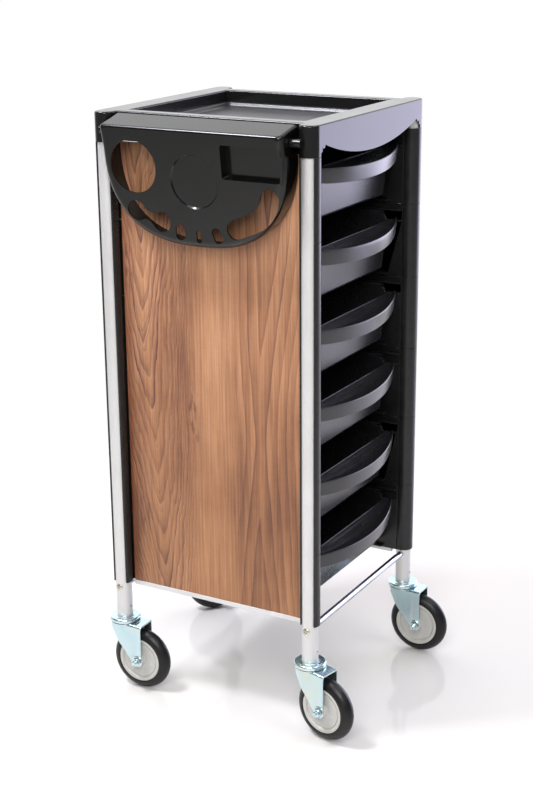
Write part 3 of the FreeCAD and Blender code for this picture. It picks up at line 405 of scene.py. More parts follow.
def zinc_metal():
    """Blue-passivated zinc plate: pale cyan with yellow and violet clouds, brush marks, a painted highlight on the
    edges, dull spots.
    """
    t = Tree("zinc_steel")
    cloud = t.noise(26.0, 2.0, 0.5, distortion=0.6)
    cloud2 = t.noise(48.0, 2.0, 0.5, distortion=0.4)
    col = t.ramp(
        cloud,
        [
            (0.30, rgb(184, 205, 216)),
            (0.42, rgb(190, 218, 224)),
            (0.55, rgb(195, 223, 228)),
            (0.68, rgb(203, 221, 216)),
            (0.78, rgb(211, 214, 196)),
        ],
    )
    col = t.mix(t.grey(cloud2, 0.0, 0.3, 0.5, 0.75), col, rgb(204, 206, 226))
    scuff = t.noise(600.0, 3.0, 0.7, t.stretch(0.08, 1.0, 0.5))
    col = t.mix(t.grey(scuff, 0.0, 0.12, 0.55, 0.8), col, rgb(160, 176, 184))
    # painted highlight: the edges are lightened almost to white
    col = t.mix(t.math("MULTIPLY", t.edge(0.52, 0.58), 0.5), col, rgb(240, 245, 246))
    r = t.math("ADD", t.grey(cloud2, 0.17, 0.25, 0.3, 0.7), t.grey(scuff, -0.02, 0.05, 0.4, 0.8))
    n = t.bump(scuff, 0.06, 0.00006, t.bump(cloud2, 0.10, 0.0005))
    return t.set(Base_Color=col, Metallic=0.92, Roughness=r, Normal=n)


def hub_grey():
    t = Tree("hub_plastic")
    mid = t.noise(120.0, 4.0, 0.6)
    fine = t.noise(1400.0, 3.0, 0.6)
    col = t.mix(t.grey(mid, 0.0, 1.0, 0.3, 0.7), rgb(182, 181, 177), rgb(192, 191, 188))
    col = t.mix(t.math("MULTIPLY", t.edge(0.5, 0.58), 0.5), col, rgb(222, 218, 204))
    grime = t.grey(t.noise(60.0, 5.0, 0.65), 0.0, 0.35, 0.55, 0.8)
    col = t.mix(grime, col, rgb(168, 164, 154))
    return t.set(
        Base_Color=col,
        Roughness=t.grey(mid, 0.36, 0.5, 0.3, 0.7),
        Normal=t.bump(fine, 0.2, 0.0001),
    )


def tyre_rubber():
    """Dark grey tyre: fine turning marks, faint scuffs and dust on the tread."""
    t = Tree("tyre_rubber")
    mid = t.noise(90.0, 5.0, 0.6)
    fine = t.noise(1200.0, 3.0, 0.6)
    scuff = t.noise(260.0, 4.0, 0.7, t.stretch(1.0, 0.25, 0.25))
    col = t.mix(t.grey(mid, 0.0, 1.0, 0.3, 0.7), rgb(13, 13, 15), rgb(20, 20, 22))
    col = t.mix(t.grey(scuff, 0.0, 0.28, 0.55, 0.8), col, rgb(44, 43, 42))
    r = t.math("ADD", t.grey(mid, 0.30, 0.40, 0.3, 0.7), t.grey(scuff, 0.0, 0.2, 0.5, 0.8))
    t.bsdf.inputs["Specular IOR Level"].default_value = 0.36
    return t.set(Base_Color=col, Roughness=r, Normal=t.bump(fine, 0.12, 0.0001))


def walnut_board():
    """Walnut decor: cathedral figure on the rear part, straight grain in the middle, long loops on the front part."""
    t = Tree("walnut_board")
    sep = t.nt.nodes.new("ShaderNodeSeparateXYZ")
    t.nt.links.new(t.co, sep.inputs[0])
    y0, z0 = sep.outputs["Y"], sep.outputs["Z"]
    # each side of the trolley shows another part of the decor sheet
    flip = t.math("GREATER_THAN", sep.outputs["X"], 0.0)
    z0 = t.math("ADD", z0, t.math("MULTIPLY", flip, 0.37))
    y = t.math("SUBTRACT", y0, CY)
    comb = t.nt.nodes.new("ShaderNodeCombineXYZ")
    t.put(comb.inputs[0], t.math("MULTIPLY", flip, 3.0))
    t.put(comb.inputs[1], y)
    t.put(comb.inputs[2], z0)
    v = comb.outputs[0]
    # the trunk wanders: slow warp of the figure
    warp = t.math("SUBTRACT", t.noise(2.4, 2.0, 0.5, t.stretch(1.0, 2.0, 1.0, v)), 0.5)
    warp2 = t.math("SUBTRACT", t.noise(10.0, 3.0, 0.55, t.stretch(1.0, 2.6, 0.8, v)), 0.5)
    warp3 = t.math("SUBTRACT", t.noise(42.0, 3.0, 0.6, t.stretch(1.0, 1.6, 0.5, v)), 0.5)

    def tame(gain1, gain2, gain3):
        w = t.math("ADD", t.math("MULTIPLY", warp, gain1), t.math("MULTIPLY", warp2, gain2))
        return t.math("ADD", w, t.math("MULTIPLY", warp3, gain3))

    def figure(centre, lean, saddle, mirror, k, round_off, widen, pitch, bend, phase):
        """Nested points: the height of a line over its tip grows with the distance from the figure's middle line."""
        z = t.math("SUBTRACT", z0, saddle)
        mid_y = t.math("ADD", t.math("MULTIPLY", z, lean), centre)
        dy = t.math("ADD", t.math("SUBTRACT", y, mid_y), bend)
        d = t.math("SUBTRACT", t.math("SQRT", t.math("ADD", t.math("MULTIPLY", dy, dy), round_off * round_off)), round_off)
        far = t.math("ADD", d, t.math("DIVIDE", t.math("MULTIPLY", d, d), widen))
        if mirror:
            z = t.math("SQRT", t.math("ADD", t.math("MULTIPLY", z, z), 0.0004))
        f = t.math("SUBTRACT", far, t.math("MULTIPLY", z, k))
        return t.math("ADD", t.math("DIVIDE", f, pitch), phase)

    left = figure(0.094, 0.03, 0.2, False, 0.34, 0.0022, 0.045, 0.0172, tame(0.075, 0.022, 0.0060), 40.3)
    right = figure(-0.086, -0.03, 0.452, True, 0.125, 0.0010, 0.11, 0.0225, tame(0.034, 0.006, 0.0020), 40.70)
    in_left = t.node("ShaderNodeMapRange", 0, {"interpolation_type": "SMOOTHSTEP"}, i0=t.math("ADD", y, t.math("MULTIPLY", warp2, 0.03)), i1=0.022, i2=0.056, i3=0.0, i4=1.0)
    in_right = t.node("ShaderNodeMapRange", 0, {"interpolation_type": "SMOOTHSTEP"}, i0=t.math("ADD", y, t.math("MULTIPLY", warp2, 0.02)), i1=-0.030, i2=-0.052, i3=0.0, i4=1.0)

    def year(phase, sharp, seed):
        """Slow darkening across a ring, then a sharp late-wood line; every ring has its own strength."""
        f = t.math("FRACT", phase)
        n = t.math("FLOOR", phase)
        a = t.math("POWER", f, sharp)
        edge = t.node("ShaderNodeMapRange", 0, {"interpolation_type": "SMOOTHSTEP"}, i0=f, i1=0.90, i2=1.0, i3=1.0, i4=0.0)
        own = t.node("ShaderNodeTexWhiteNoise", 0, {"noise_dimensions": "1D"}, W=t.math("ADD", n, seed))
        return t.math("MULTIPLY", t.math("MULTIPLY", a, edge), t.grey(own, 0.08, 1.32, 0.0, 1.0))

    amp = t.noise(7.0, 3.0, 0.6, t.stretch(1.0, 7.0, 1.0, v))
    lines_l = t.math("MULTIPLY", t.math("MULTIPLY", year(left, 3.6, 3.0), in_left), t.grey(amp, 0.06, 1.00, 0.36, 0.64))
    fine_l = t.math("MULTIPLY", t.math("MULTIPLY", year(t.math("MULTIPLY", left, 3.37), 2.4, 7.0), in_left), t.grey(amp, 0.42, 0.06, 0.33, 0.66))
    near_r = t.node("ShaderNodeMapRange", 0, {"interpolation_type": "SMOOTHSTEP"}, i0=t.math("ABSOLUTE", t.math("ADD", y, 0.086)), i1=0.034, i2=0.052, i3=1.0, i4=0.22)
    lines_r = t.math("MULTIPLY", t.math("MULTIPLY", year(right, 13.0, 5.0), t.math("MULTIPLY", in_right, near_r)), t.grey(amp, 0.90, 1.7, 0.33, 0.66))
    straight = t.math("MULTIPLY", t.math("ADD", y, tame(0.016, 0.007, 0.0018)), 172.0)
    in_mid = t.math("MULTIPLY", t.math("SUBTRACT", 1.0, in_left), t.math("SUBTRACT", 1.0, in_right))
    lines_m = t.math("MULTIPLY", t.math("MULTIPLY", year(straight, 6.0, 11.0), in_mid), t.grey(amp, 0.34, 0.04, 0.38, 0.62))
    lines = t.math("ADD", t.math("ADD", t.math("ADD", lines_l, fine_l), lines_r), lines_m)
    lines = t.math("MULTIPLY", lines, 1.6, clamp=True)
    fibre = t.noise(330.0, 4.0, 0.62, t.stretch(1.0, 1.0, 0.020, v))
    fibre2 = t.noise(115.0, 3.0, 0.55, t.stretch(1.0, 1.0, 0.05, v))
    cross = t.noise(260.0, 3.0, 0.6, t.stretch(1.0, 0.25, 1.0, v))
    pores = t.noise(900.0, 2.0, 0.5, t.stretch(1.0, 1.0, 0.045, v))
    band = t.noise(15.0, 3.0, 0.5, t.stretch(1.0, 1.0, 0.14, v))
    cloud = t.noise(6.5, 4.0, 0.55, t.stretch(1.0, 1.0, 0.6, v))
    tone = t.math("ADD", t.math("MULTIPLY", t.math("SUBTRACT", band, 0.5), 0.95), t.math("MULTIPLY", t.math("SUBTRACT", cloud, 0.5), 1.15))
    tone = t.math("ADD", tone, t.math("MULTIPLY", t.math("SUBTRACT", fibre2, 0.5), 0.38))
    tone = t.math("ADD", tone, t.math("MULTIPLY", t.math("SUBTRACT", cross, 0.5), 0.10))
    # each ring of the figure is a little darker towards its line
    shade = t.math("ADD", t.math("MULTIPLY", t.math("FRACT", left), in_left), t.math("MULTIPLY", t.math("FRACT", right), in_right))
    tone = t.math("SUBTRACT", tone, t.math("MULTIPLY", shade, 0.22))
    # painted light: the tone is raised towards the top of the board, where the key light falls
    tone = t.math("ADD", tone, t.grey(z0, 0.50, 0.64, 0.50, 0.82))
    # paler straight-grained strip in the middle of the board, warmer and darker towards the front edge
    strip = t.node("ShaderNodeMapRange", 0, {"interpolation_type": "SMOOTHSTEP"}, i0=t.math("ABSOLUTE", t.math("ADD", t.math("SUBTRACT", y, -0.002), t.math("MULTIPLY", warp2, 0.02))), i1=0.012, i2=0.046, i3=0.10, i4=0.0)
    tone = t.math("ADD", tone, strip, clamp=True)
    col = t.ramp(
        tone,
        [
            (0.10, (0.172, 0.068, 0.031, 1)),
            (0.35, (0.312, 0.141, 0.066, 1)),
            (0.58, (0.440, 0.218, 0.110, 1)),
            (0.80, (0.545, 0.287, 0.154, 1)),
            (1.00, (0.625, 0.345, 0.196, 1)),
        ],
    )
    col = t.mix(t.grey(fibre, 0.0, 0.50, 0.44, 0.76), col, (0.150, 0.066, 0.040, 1))
    col = t.mix(t.grey(t.math("SUBTRACT", 1.0, fibre), 0.0, 0.25, 0.48, 0.78), col, (0.66, 0.38, 0.22, 1))
    col = t.mix(t.math("MULTIPLY", lines, 0.95, clamp=True), col, (0.080, 0.028, 0.038, 1))
    col = t.mix(t.grey(pores, 0.0, 0.35, 0.66, 0.78), col, (0.09, 0.042, 0.030, 1))
    # two clusters of short dark flecks beside the pale strip, and small knots
    dash = t.noise(210.0, 3.0, 0.6, t.stretch(1.0, 1.0, 0.16, v))
    spot = None
    for cy_k, cz_k, ry, rz in ((0.036, 0.46, 0.011, 0.055), (0.046, 0.745, 0.014, 0.040), (0.142, 0.70, 0.010, 0.045), (0.128, 0.30, 0.008, 0.03)):
        a = t.math("DIVIDE", t.math("SUBTRACT", y, cy_k), ry)
        b = t.math("DIVIDE", t.math("SUBTRACT", z0, cz_k), rz)
        q = t.grey(t.math("ADD", t.math("MULTIPLY", a, a), t.math("MULTIPLY", b, b)), 1.0, 0.0, 0.1, 1.6)
        spot = q if spot is None else t.math("MAXIMUM", spot, q)
    fleck = t.math("MULTIPLY", spot, t.grey(dash, 0.0, 1.0, 0.50, 0.60), clamp=True)
    col = t.mix(t.math("MULTIPLY", fleck, 0.72), col, (0.075, 0.034, 0.028, 1))
    knot = t.node(
        "ShaderNodeTexVoronoi", 0, {"feature": "F1"}, Vector=t.stretch(1.0, 1.0, 0.35, v), Scale=8.5, Randomness=1.0
    )
    core = t.math("MULTIPLY", t.grey(knot, 1.0, 0.0, 0.014, 0.04), t.grey(t.noise(150.0, 4.0, 0.7), 0.0, 1.0, 0.45, 0.6), clamp=True)
    col = t.mix(t.math("MULTIPLY", core, 0.6), col, (0.07, 0.035, 0.03, 1))
    # painted light: the sheet is pinker at its upper end and browner lower down, standing in for the tray's reflection
    # and shadow; it is also browner towards the front
    painted_shade_low = t.node("ShaderNodeMapRange", 0, {"interpolation_type": "SMOOTHSTEP"}, i0=z0, i1=0.78, i2=0.20, i3=0.0, i4=1.0)
    col = t.mix(1.0, col, (1.10, 1.12, 1.18, 1), "MULTIPLY")
    col = t.mix(painted_shade_low, col, (0.84, 0.77, 0.63, 1), "MULTIPLY")
    fore = t.node("ShaderNodeMapRange", 0, {"interpolation_type": "SMOOTHSTEP"}, i0=y, i1=-0.03, i2=-0.10, i3=0.0, i4=1.0)
    col = t.mix(t.math("MULTIPLY", fore, 0.9), col, (0.95, 0.93, 0.93, 1), "MULTIPLY")
    rim = t.node("ShaderNodeMapRange", 0, {"interpolation_type": "SMOOTHSTEP"}, i0=y, i1=0.128, i2=0.150, i3=0.0, i4=1.0)
    col = t.mix(t.math("MULTIPLY", rim, 0.75), col, (0.80, 0.62, 0.62, 1), "MULTIPLY")
    r = t.math("ADD", t.grey(fibre, 0.30, 0.40, 0.3, 0.7), t.grey(pores, 0.0, 0.14, 0.6, 0.8))
    n = t.bump(pores, 0.16, 0.0001, t.bump(fibre, 0.10, 0.00015))
    return t.set(Base_Color=col, Roughness=r, Normal=n)


def blackened_steel():
    """Blackened pin steel: dark oxide with turning marks and rubbed spots."""
    t = Tree("blackened_steel")
    mid = t.noise(180.0, 4.0, 0.6)
    turn = t.noise(700.0, 3.0, 0.6, t.stretch(0.1, 1.0, 1.0))
    col = t.mix(t.grey(mid, 0.0, 1.0, 0.35, 0.7), rgb(12, 12, 13), rgb(24, 24, 26))
    col = t.mix(t.math("MULTIPLY", t.edge(0.52, 0.58), 0.4), col, rgb(80, 80, 84))
    return t.set(Base_Color=col, Metallic=0.3, Roughness=t.grey(turn, 0.30, 0.42, 0.3, 0.7), Normal=t.bump(turn, 0.05, 0.00005))


def nickel_screw():
    """Nickel plated screw: warm bright metal with fine scratches and dull flecks."""
    t = Tree("nickel_screw")
    mid = t.noise(240.0, 4.0, 0.6)
    scratch = t.noise(900.0, 3.0, 0.7, t.stretch(1.0, 0.15, 1.0))
    col = t.mix(t.grey(mid, 0.0, 1.0, 0.35, 0.7), rgb(214, 211, 196), rgb(196, 192, 172))
    col = t.mix(t.grey(scratch, 0.0, 0.2, 0.55, 0.8), col, rgb(150, 148, 138))
    return t.set(Base_Color=col, Metallic=0.85, Roughness=t.grey(scratch, 0.18, 0.32, 0.3, 0.7), Normal=t.bump(scratch, 0.05, 0.00005))


SCREW = nickel_screw()
PIN = blackened_steel()
TUBE, CHROME, ZINC = tube_metal(), polished_metal(), zinc_metal()
HUB, RUBBER, WOOD = hub_grey(), tyre_rubber(), walnut_board()


# ------------------------------------------------------------------ top frame
def top_frame():
    bm = from_node("top_frame")
    top = max(v.co.z for v in bm.verts)
    picked = []
    for e in bm.edges:
        if len(e.link_faces) == 2 and all(v.co.z > top - 2e-5 for v in e.verts):
            if e.calc_face_angle(0) > math.radians(40):
                picked.append(e)
    bmesh.ops.bevel(
        bm, geom=picked, offset=2.6 * MM, offset_type="OFFSET", segments=5, profile=0.5, affect="EDGES", clamp_overlap=True
    )
    ob = as_object("top_frame_shell", bm, weld=False)
    soften(ob, 0.7, 2, 35)
    return piece(ob, "cabinet", BLACK, "black_plastic", "top_frame")


top_frame()


def tray_insert():
    lo, hi, _ = span("top_tray")
    hx = (hi.x - lo.x) / 2 / MM
    hy = (hi.y - lo.y) / 2 / MM
    zt, zb = hi.z / MM, lo.z / MM
    fl = zb + 2.5
    bm = bmesh.new()

    def ring(inset, z, r):
        return [at(x, y, z) for x, y in round_rect(-hx + inset, -hy + inset, hx - inset, hy - inset, r, 6)]

    rings = [
        ring(12.0, zb, 2.0),
        ring(9.0, zb, 4.0),
        ring(8.2, zb + 0.8, 5.0),
        ring(8.0, zt - 2.6, 5.2),
        ring(0.6, zt - 2.6, 8.0),
        ring(0.0, zt - 2.0, 8.5),
        ring(0.0, zt - 0.8, 8.5),
        ring(0.3, zt - 0.2, 8.3),
        ring(0.9, zt, 8.0),
        ring(8.2, zt, 4.0),
        ring(9.4, zt - 0.5, 3.6),
        ring(10.2, zt - 1.6, 3.4),
        ring(11.2, fl + 2.2, 3.4),
        ring(12.2, fl + 1.0, 3.6),
        ring(13.6, fl + 0.25, 4.0),
        ring(15.6, fl, 4.5),
        ring(40.0, fl, 4.5),
        ring(100.0, fl, 4.5),
    ]
    loft(bm, rings)
    ob = as_object("top_tray_insert", bm)
    soften(ob, 0, smooth=50)
    return piece(ob, "cabinet", INSERT, "black_plastic", "top_tray")


tray_insert()


# ------------------------------------------------------------------ side boards and their edge channels
def boards():
    for side in ("left", "right"):
        node = "side_panel_" + side
        lo, hi, _ = span(node)
        bm = bmesh.new()
        rings = []
        for x, inset in ((lo.x, 0.5), (lo.x + 0.4 * MM, 0.0), (hi.x - 0.4 * MM, 0.0), (hi.x, 0.5)):
            k = inset * MM
            rings.append(
                [
                    Vector((x, lo.y + k, lo.z + k)),
                    Vector((x, hi.y - k, lo.z + k)),
                    Vector((x, hi.y - k, hi.z - k)),
                    Vector((x, lo.y + k, hi.z - k)),
                ]
            )
        loft(bm, rings)
        ob = as_object("walnut_panel_" + side, bm)
        soften(ob, 0, smooth=20, weighted=False)
        piece(ob, "cabinet", WOOD, "walnut_board", node)
        bm = from_node("panel_trim_" + side)
        ob = as_object("edge_channel_" + side, bm)
        soften(ob, 0.35, 2)
        piece(ob, "cabinet", TUBE, "tube_aluminium", "panel_trim_" + side)


boards()


# ------------------------------------------------------------------ drawers
def drawer_mesh():
    """One drawer about its module base: a drafted bin with rounded corners, sliding flanges and a scooped grip lip."""
    lo, hi, c = span("drawer_1")
    base = lo.z / MM - 12.3
    half = 140.8
    wall = 2.4

    def P(x, y, z):
        return at(x, y, z)

    def front(z):
        return 134.0 + 9.0 * (z - 12.3) / 77.7

    def top_at(y):
        t = min(1.0, max(0.0, (-131.0 - y) / 10.5))
        t = t * t * (3 - 2 * t)
        return 103.4 - 13.4 * t

    def ring(t, inset, floor, sink=0.0, top_drop=0.0):
        """t runs 0..1 up the wall; inset moves the outline inwards."""
        out = []
        zref = floor + t * (90.0 - floor)
        plan = round_rect(
            -half + inset, -front(zref) + inset, half - inset, 146.0 - inset, [max(7.5 - inset, 3)] * 2 + [max(9 - inset, 2)] * 2, 8
        )
        # points along the long sides so the rim can fall towards the front
        pts = []
        n = len(plan)
        for i in range(n):
            a, b = plan[i], plan[(i + 1) % n]
            pts.append(a)
            d = math.hypot(a[0] - b[0], a[1] - b[1])
            if d > 60:
                k = 10
                for j in range(1, k):
                    pts.append((a[0] + (b[0] - a[0]) * j / k, a[1] + (b[1] - a[1]) * j / k))
        for x, y in pts:
            z = floor + t * (top_at(y) - top_drop - floor)
            out.append(P(x, y, z - sink))
        return out

    bm = bmesh.new()
    r = 5.0
    rings = [ring(0, 60, 12.3), ring(0, r + 3, 12.3)]
    for i in range(1, 7):
        a = math.pi / 2 * i / 6
        rings.append([p for p in ring(0, r * (1 - math.sin(a)), 12.3 + r * (1 - math.cos(a)))])
    for t in (0.25, 0.5, 0.75, 0.9, 0.98):
        rings.append(ring(t, 0.0, 12.3 + r))
    rings.append(ring(1.0, 0.0, 12.3 + r, 0.0, 0.7))
    rings.append(ring(1.0, 0.25, 12.3 + r, 0.0, 0.2))
    rings.append(ring(1.0, 0.7, 12.3 + r))
    rings.append(ring(1.0, wall - 0.7, 12.3 + r))
    rings.append(ring(1.0, wall - 0.25, 12.3 + r, 0.0, 0.2))
    rings.append(ring(1.0, wall, 12.3 + r, 0.0, 0.7))
    fl = 12.3 + wall
    for t in (0.9, 0.6, 0.3):
        rings.append(ring(t, wall, fl + 4.0))
    for i in range(1, 7):
        a = math.pi / 2 * i / 6
        rings.append(ring(0, wall + 4.0 * (1 - math.cos(a)), fl + 4.0 * (1 - math.sin(a))))
    rings.append(ring(0, wall + 10, fl))
    rings.append(ring(0, 60, fl))
    loft(bm, rings)

    # sliding flanges
    for s in (-1, 1):
        prof = [
            (140.2, 103.4), (147.9, 103.4), (148.6, 103.1), (148.9, 102.4), (148.9, 91.0), (148.5, 90.4),
            (147.2, 90.4), (146.7, 91.0), (146.7, 99.6), (145.6, 101.0), (140.2, 101.0),
        ]
        rr = []
        for y, k in ((-131.0, 0.6), (-130.0, 0.0), (-100.0, 0.0), (0, 0.0), (100.0, 0.0), (145.0, 0.0), (146.0, 0.6)):
            rr.append([P(s * (x - (k if x > 146 else 0)), y, z - (k if z > 103 else 0)) for x, z in prof])
        loft(bm, rr)

    # grip lip
    yc = -186.0 + 346.35
    stations = []
    m = 40
    for i in range(m + 1):
        u = -1 + 2 * i / m
        u = math.copysign(1 - (1 - abs(u)) ** 1.25, u) if u else 0.0
        stations.append(u * half)
    rings = []
    for x in stations:
        q = abs(x) / half
        yr = yc - math.sqrt(346.35 ** 2 - x * x)
        zr = 88.0 + 8.0 * q ** 2.2
        lift = max(0.0, (q - 0.80) / 0.20)
        zb = 66.0 + 8.0 * q * q + 9.0 * lift ** 2
        spanw = -144.0 - yr
        sag = min(6.5, 0.17 * spanw)
        ym = lambda f: -143.4 + (yr + 143.4) * f
        join = 89.6 + (1.5 if q > 0.9 else 0.0) * (q - 0.9) * 10
        prof = [
            (-141.6, join - 0.6),
            (-143.2, join),
            (ym(0.10) , join - 0.3 * sag - 0.1),
            (ym(0.25), (join + zr) / 2 - 0.72 * sag - 0.6),
            (ym(0.42), (join + zr) / 2 - 1.0 * sag - 0.8),
            (ym(0.60), (join + zr) / 2 - 0.92 * sag - 0.6),
            (ym(0.76), zr - 0.62 * sag),
            (yr + max(3.0, 0.10 * spanw), zr - 0.25 * sag - 0.15),
            (yr + 1.9, zr - 0.05),
            (yr + 1.1, zr),
            (yr + 0.45, zr - 0.25),
            (yr + 0.1, zr - 0.85),
            (yr, zr - 1.7),
            (yr + 0.15, zr - 5.5),
            (yr + 0.9, (zr + zb) / 2 - 1),
            (yr + 1.8, zb + 1.2),
            (yr + 2.1, zb + 0.5),
            (yr + 2.6, zb + 0.05),
            (yr + 3.3, zb),
            (yr + 3.9, zb + 0.4),
            (yr + 4.2, zb + 1.2),
            (yr + 3.4, zr - 6.0),
            (min(ym(0.72), -145.0), zr - 0.62 * sag - 2.6),
            (min(ym(0.42), -144.5), (join + zr) / 2 - sag - 3.2),
            (min(ym(0.18), -144.0), join - 3.4),
            (-141.6, join - 3.6),
        ]
        k = 0.0
        if q > 0.985:
            k = (q - 0.985) / 0.015
        cyy = (yr - 141.6) / 2
        czz = (zr + join) / 2 - 2
        s1 = 1 - 0.35 * k * k
        rings.append([P(x, cyy + (y - cyy) * s1, czz + (z - czz) * s1) for y, z in prof])
    loft(bm, rings)
    for v in bm.verts:
        v.co.z += base * MM
    return bm


def drawers():
    first = None
    for i in range(1, 7):
        lo, hi, c = span("drawer_%d" % i)
        if first is None:
            ob = as_object("drawer_bin_%d" % i, drawer_mesh(), weld=True)
            soften(ob, 0, smooth=46, weighted=True)
            first = (ob, lo.z)
            piece(ob, "drawer_%d" % i, BIN, "drawer_plastic", "drawer_%d" % i)
        else:
            me = first[0].data.copy()
            me.transform(Matrix.Translation((0, 0, lo.z - first[1])))
            ob = bpy.data.objects.new("drawer_bin_%d" % i, me)
            bpy.context.scene.collection.objects.link(ob)
            w = ob.modifiers.new("normals", "WEIGHTED_NORMAL")
            w.keep_sharp = True
            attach(ob, "drawer_%d" % i)
            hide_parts("drawer_%d" % i)


drawers()


# ------------------------------------------------------------------ tool tray
def tool_tray():
    _, _, pin = span("hinge_pins")
    lo, hi, _ = span("tool_tray")
    A, Z0, B, pw = 147.0, -20.0, 135.0, 2.5
    face = -27.2
    turn = Matrix.Rotation(math.radians(-7), 3, "Y")

    def W(x, y, z):
        v = turn @ Vector((x, y, z))
        return Vector((pin.x + v.x * MM, CY + v.y * MM, pin.z + v.z * MM))

    def mouth(z):
        if z > -6:
            return 19.6
        return 19.6 + (5.3 - 19.6) * min(1.0, (-6 - z) / 153.0)

    # outline stations on the D: (y, z, ny, nz)
    dee = []
    steps = 56
    raw = []
    for i in range(1201):
        a = math.pi * i / 1200
        c, s = math.cos(a), math.sin(a)
        y = A * math.copysign(abs(c) ** (2 / pw), c)
        z = Z0 - B * abs(s) ** (2 / pw)
        raw.append((y, z))
    length = [0.0]
    for p, q in zip(raw, raw[1:]):
        length.append(length[-1] + math.hypot(p[0] - q[0], p[1] - q[1]))
    j = 0
    for i in range(steps + 1):
        want = length[-1] * i / steps
        while j < len(length) - 2 and length[j + 1] < want:
            j += 1
        f = (want - length[j]) / max(1e-9, length[j + 1] - length[j])
        y = raw[j][0] + (raw[j + 1][0] - raw[j][0]) * f
        z = raw[j][1] + (raw[j + 1][1] - raw[j][1]) * f
        gy = math.copysign(abs(y / A) ** (pw - 1) / A, y)
        gz = -(max(0.0, (Z0 - z) / B) ** (pw - 1)) / B
        g = math.hypot(gy, gz)
        dee.append((y, z, gy / g, gz / g))

    R, r, rc = 11.5, 3.4, 5.0

    def ring(kind, val):
        """kind 'skirt': val 0 at the mouth, 1 where the face rounding starts. kind 'turn': val is the angle."""
        if kind == "skirt":
            o, t, xf = 0.0, 0.0, None
        else:
            d = R * math.sin(val)
            o = R * (1 - math.cos(val))
            e = max(0.0, d - (R - r))
            t = r - math.sqrt(max(0.0, r * r - e * e))
            xf = face + R - d
        out = []

        def X(z):
            if xf is not None:
                return xf
            return mouth(z) * (1 - val) + (face + R) * val

        for y, z, ny, nz in dee:
            yy, zz = y - o * ny, z - o * nz
            out.append((X(z), yy, zz))
        x_top = X(20)
        zt = 14.5 + (x_top - face) * (5.5 / 46.8) - t
        oy = min(o, t * 1.6 + 0.35 * o)
        # left side up, corner, top, corner, right side down
        for k in (0.35, 0.7):
            out.append((X(0), -(A - o - (oy - o) * k), Z0 + (zt - rc - Z0) * k))
        for i in range(7):
            a = math.pi / 2 * i / 6
            out.append((x_top, -(A - oy - rc) - rc * math.cos(a), zt - rc + rc * math.sin(a)))
        for i in range(1, 8):
            out.append((x_top, -(A - oy - rc) + 2 * (A - oy - rc) * i / 8, zt))
        for i in range(7):
            a = math.pi / 2 * i / 6
            out.append((x_top, (A - oy - rc) + rc * math.sin(a), zt - rc + rc * math.cos(a)))
        for k in (0.7, 0.35):
            out.append((X(0), (A - o - (oy - o) * k), Z0 + (zt - rc - Z0) * k))
        return [W(*p) for p in out]

    bm = bmesh.new()
    rings = [ring("skirt", 0.0), ring("skirt", 0.5), ring("skirt", 1.0)]
    for deg in (10, 22, 34, 44, 54, 62, 69, 75, 81, 86, 90):
        rings.append(ring("turn", math.radians(deg)))
    loft(bm, rings, cap0=False)
    ob = as_object("tool_tray_shell", bm)
    m = ob.modifiers.new("wall", "SOLIDIFY")
    m.thickness = 2.8 * MM
    m.offset = -1
    m.use_even_offset = True
    m.use_rim = True
    bake(ob)

    def place(d, u, v):
        return W(d, u, v)

    # bosses behind the sunken parts
    blocks = [
        prism(round_rect(-143.9, -52.5, -48.5, 0.1, 4.5), place, face + 1.4, face + 16.3),
        prism([(-5 + 41 * math.cos(2 * math.pi * i / 64), -57.5 + 41 * math.sin(2 * math.pi * i / 64)) for i in range(64)], place, face + 1.4, face + 4.9),
    ]
    for b in blocks:
        cut(ob, [b], "UNION")

    def circle(y, z, rad, n=64):
        return [(y + rad * math.cos(2 * math.pi * i / n), z + rad * math.sin(2 * math.pi * i / n)) for i in range(n)]

    def capsule(points, rads, n=12):
        """Smooth outline of a slot along a curved centre line with a changing half width."""
        cs = []
        m = len(points)
        for i in range(m - 1):
            p0 = points[max(i - 1, 0)]
            p1, p2 = points[i], points[i + 1]
            p3 = points[min(i + 2, m - 1)]
            steps = 5 if m > 2 else 1
            for k in range(steps):
                t = k / steps
                q = []
                for c in (0, 1):
                    q.append(
                        0.5
                        * (
                            2 * p1[c]
                            + (p2[c] - p0[c]) * t
                            + (2 * p0[c] - 5 * p1[c] + 4 * p2[c] - p3[c]) * t * t
                            + (3 * p1[c] - p0[c] - 3 * p2[c] + p3[c]) * t ** 3
                        )
                    )
                cs.append((q[0], q[1], rads[i] + (rads[i + 1] - rads[i]) * t))
        cs.append((points[-1][0], points[-1][1], rads[-1]))
        left, right = [], []
        for i, (u, v, rad) in enumerate(cs):
            a = cs[max(i - 1, 0)]
            b = cs[min(i + 1, len(cs) - 1)]
            g = math.hypot(b[0] - a[0], b[1] - a[1])
            tu, tv = (b[0] - a[0]) / g, (b[1] - a[1]) / g
            left.append((u - tv * rad, v + tu * rad))
            right.append((u + tv * rad, v - tu * rad))

        def cap(c, other, sign):
            ang = math.atan2(c[1] - other[1], c[0] - other[0])
            return [
                (c[0] + c[2] * math.cos(ang + math.pi * (k / n - 0.5)), c[1] + c[2] * math.sin(ang + math.pi * (k / n - 0.5)))
                for k in range(1, n)
            ]

        return right + cap(cs[-1], cs[-2], 1) + list(reversed(left)) + cap(cs[0], cs[1], -1)

    def sunk(outline, depth, inset):
        return prism(outline, place, face - 2.0, face + depth, inset)

    # shallow sunken fields with sloping sides, then the deeper oblong well
    cut(ob, [prism(circle(-5, -57.5, 39.6), place, face - 1.1, face + 2.4, 2.6)])
    cut(ob, [prism(round_rect(-141.6, -50.2, -50.8, -2.2, 3.6), place, face - 1.0, face + 14.0, 1.2)])
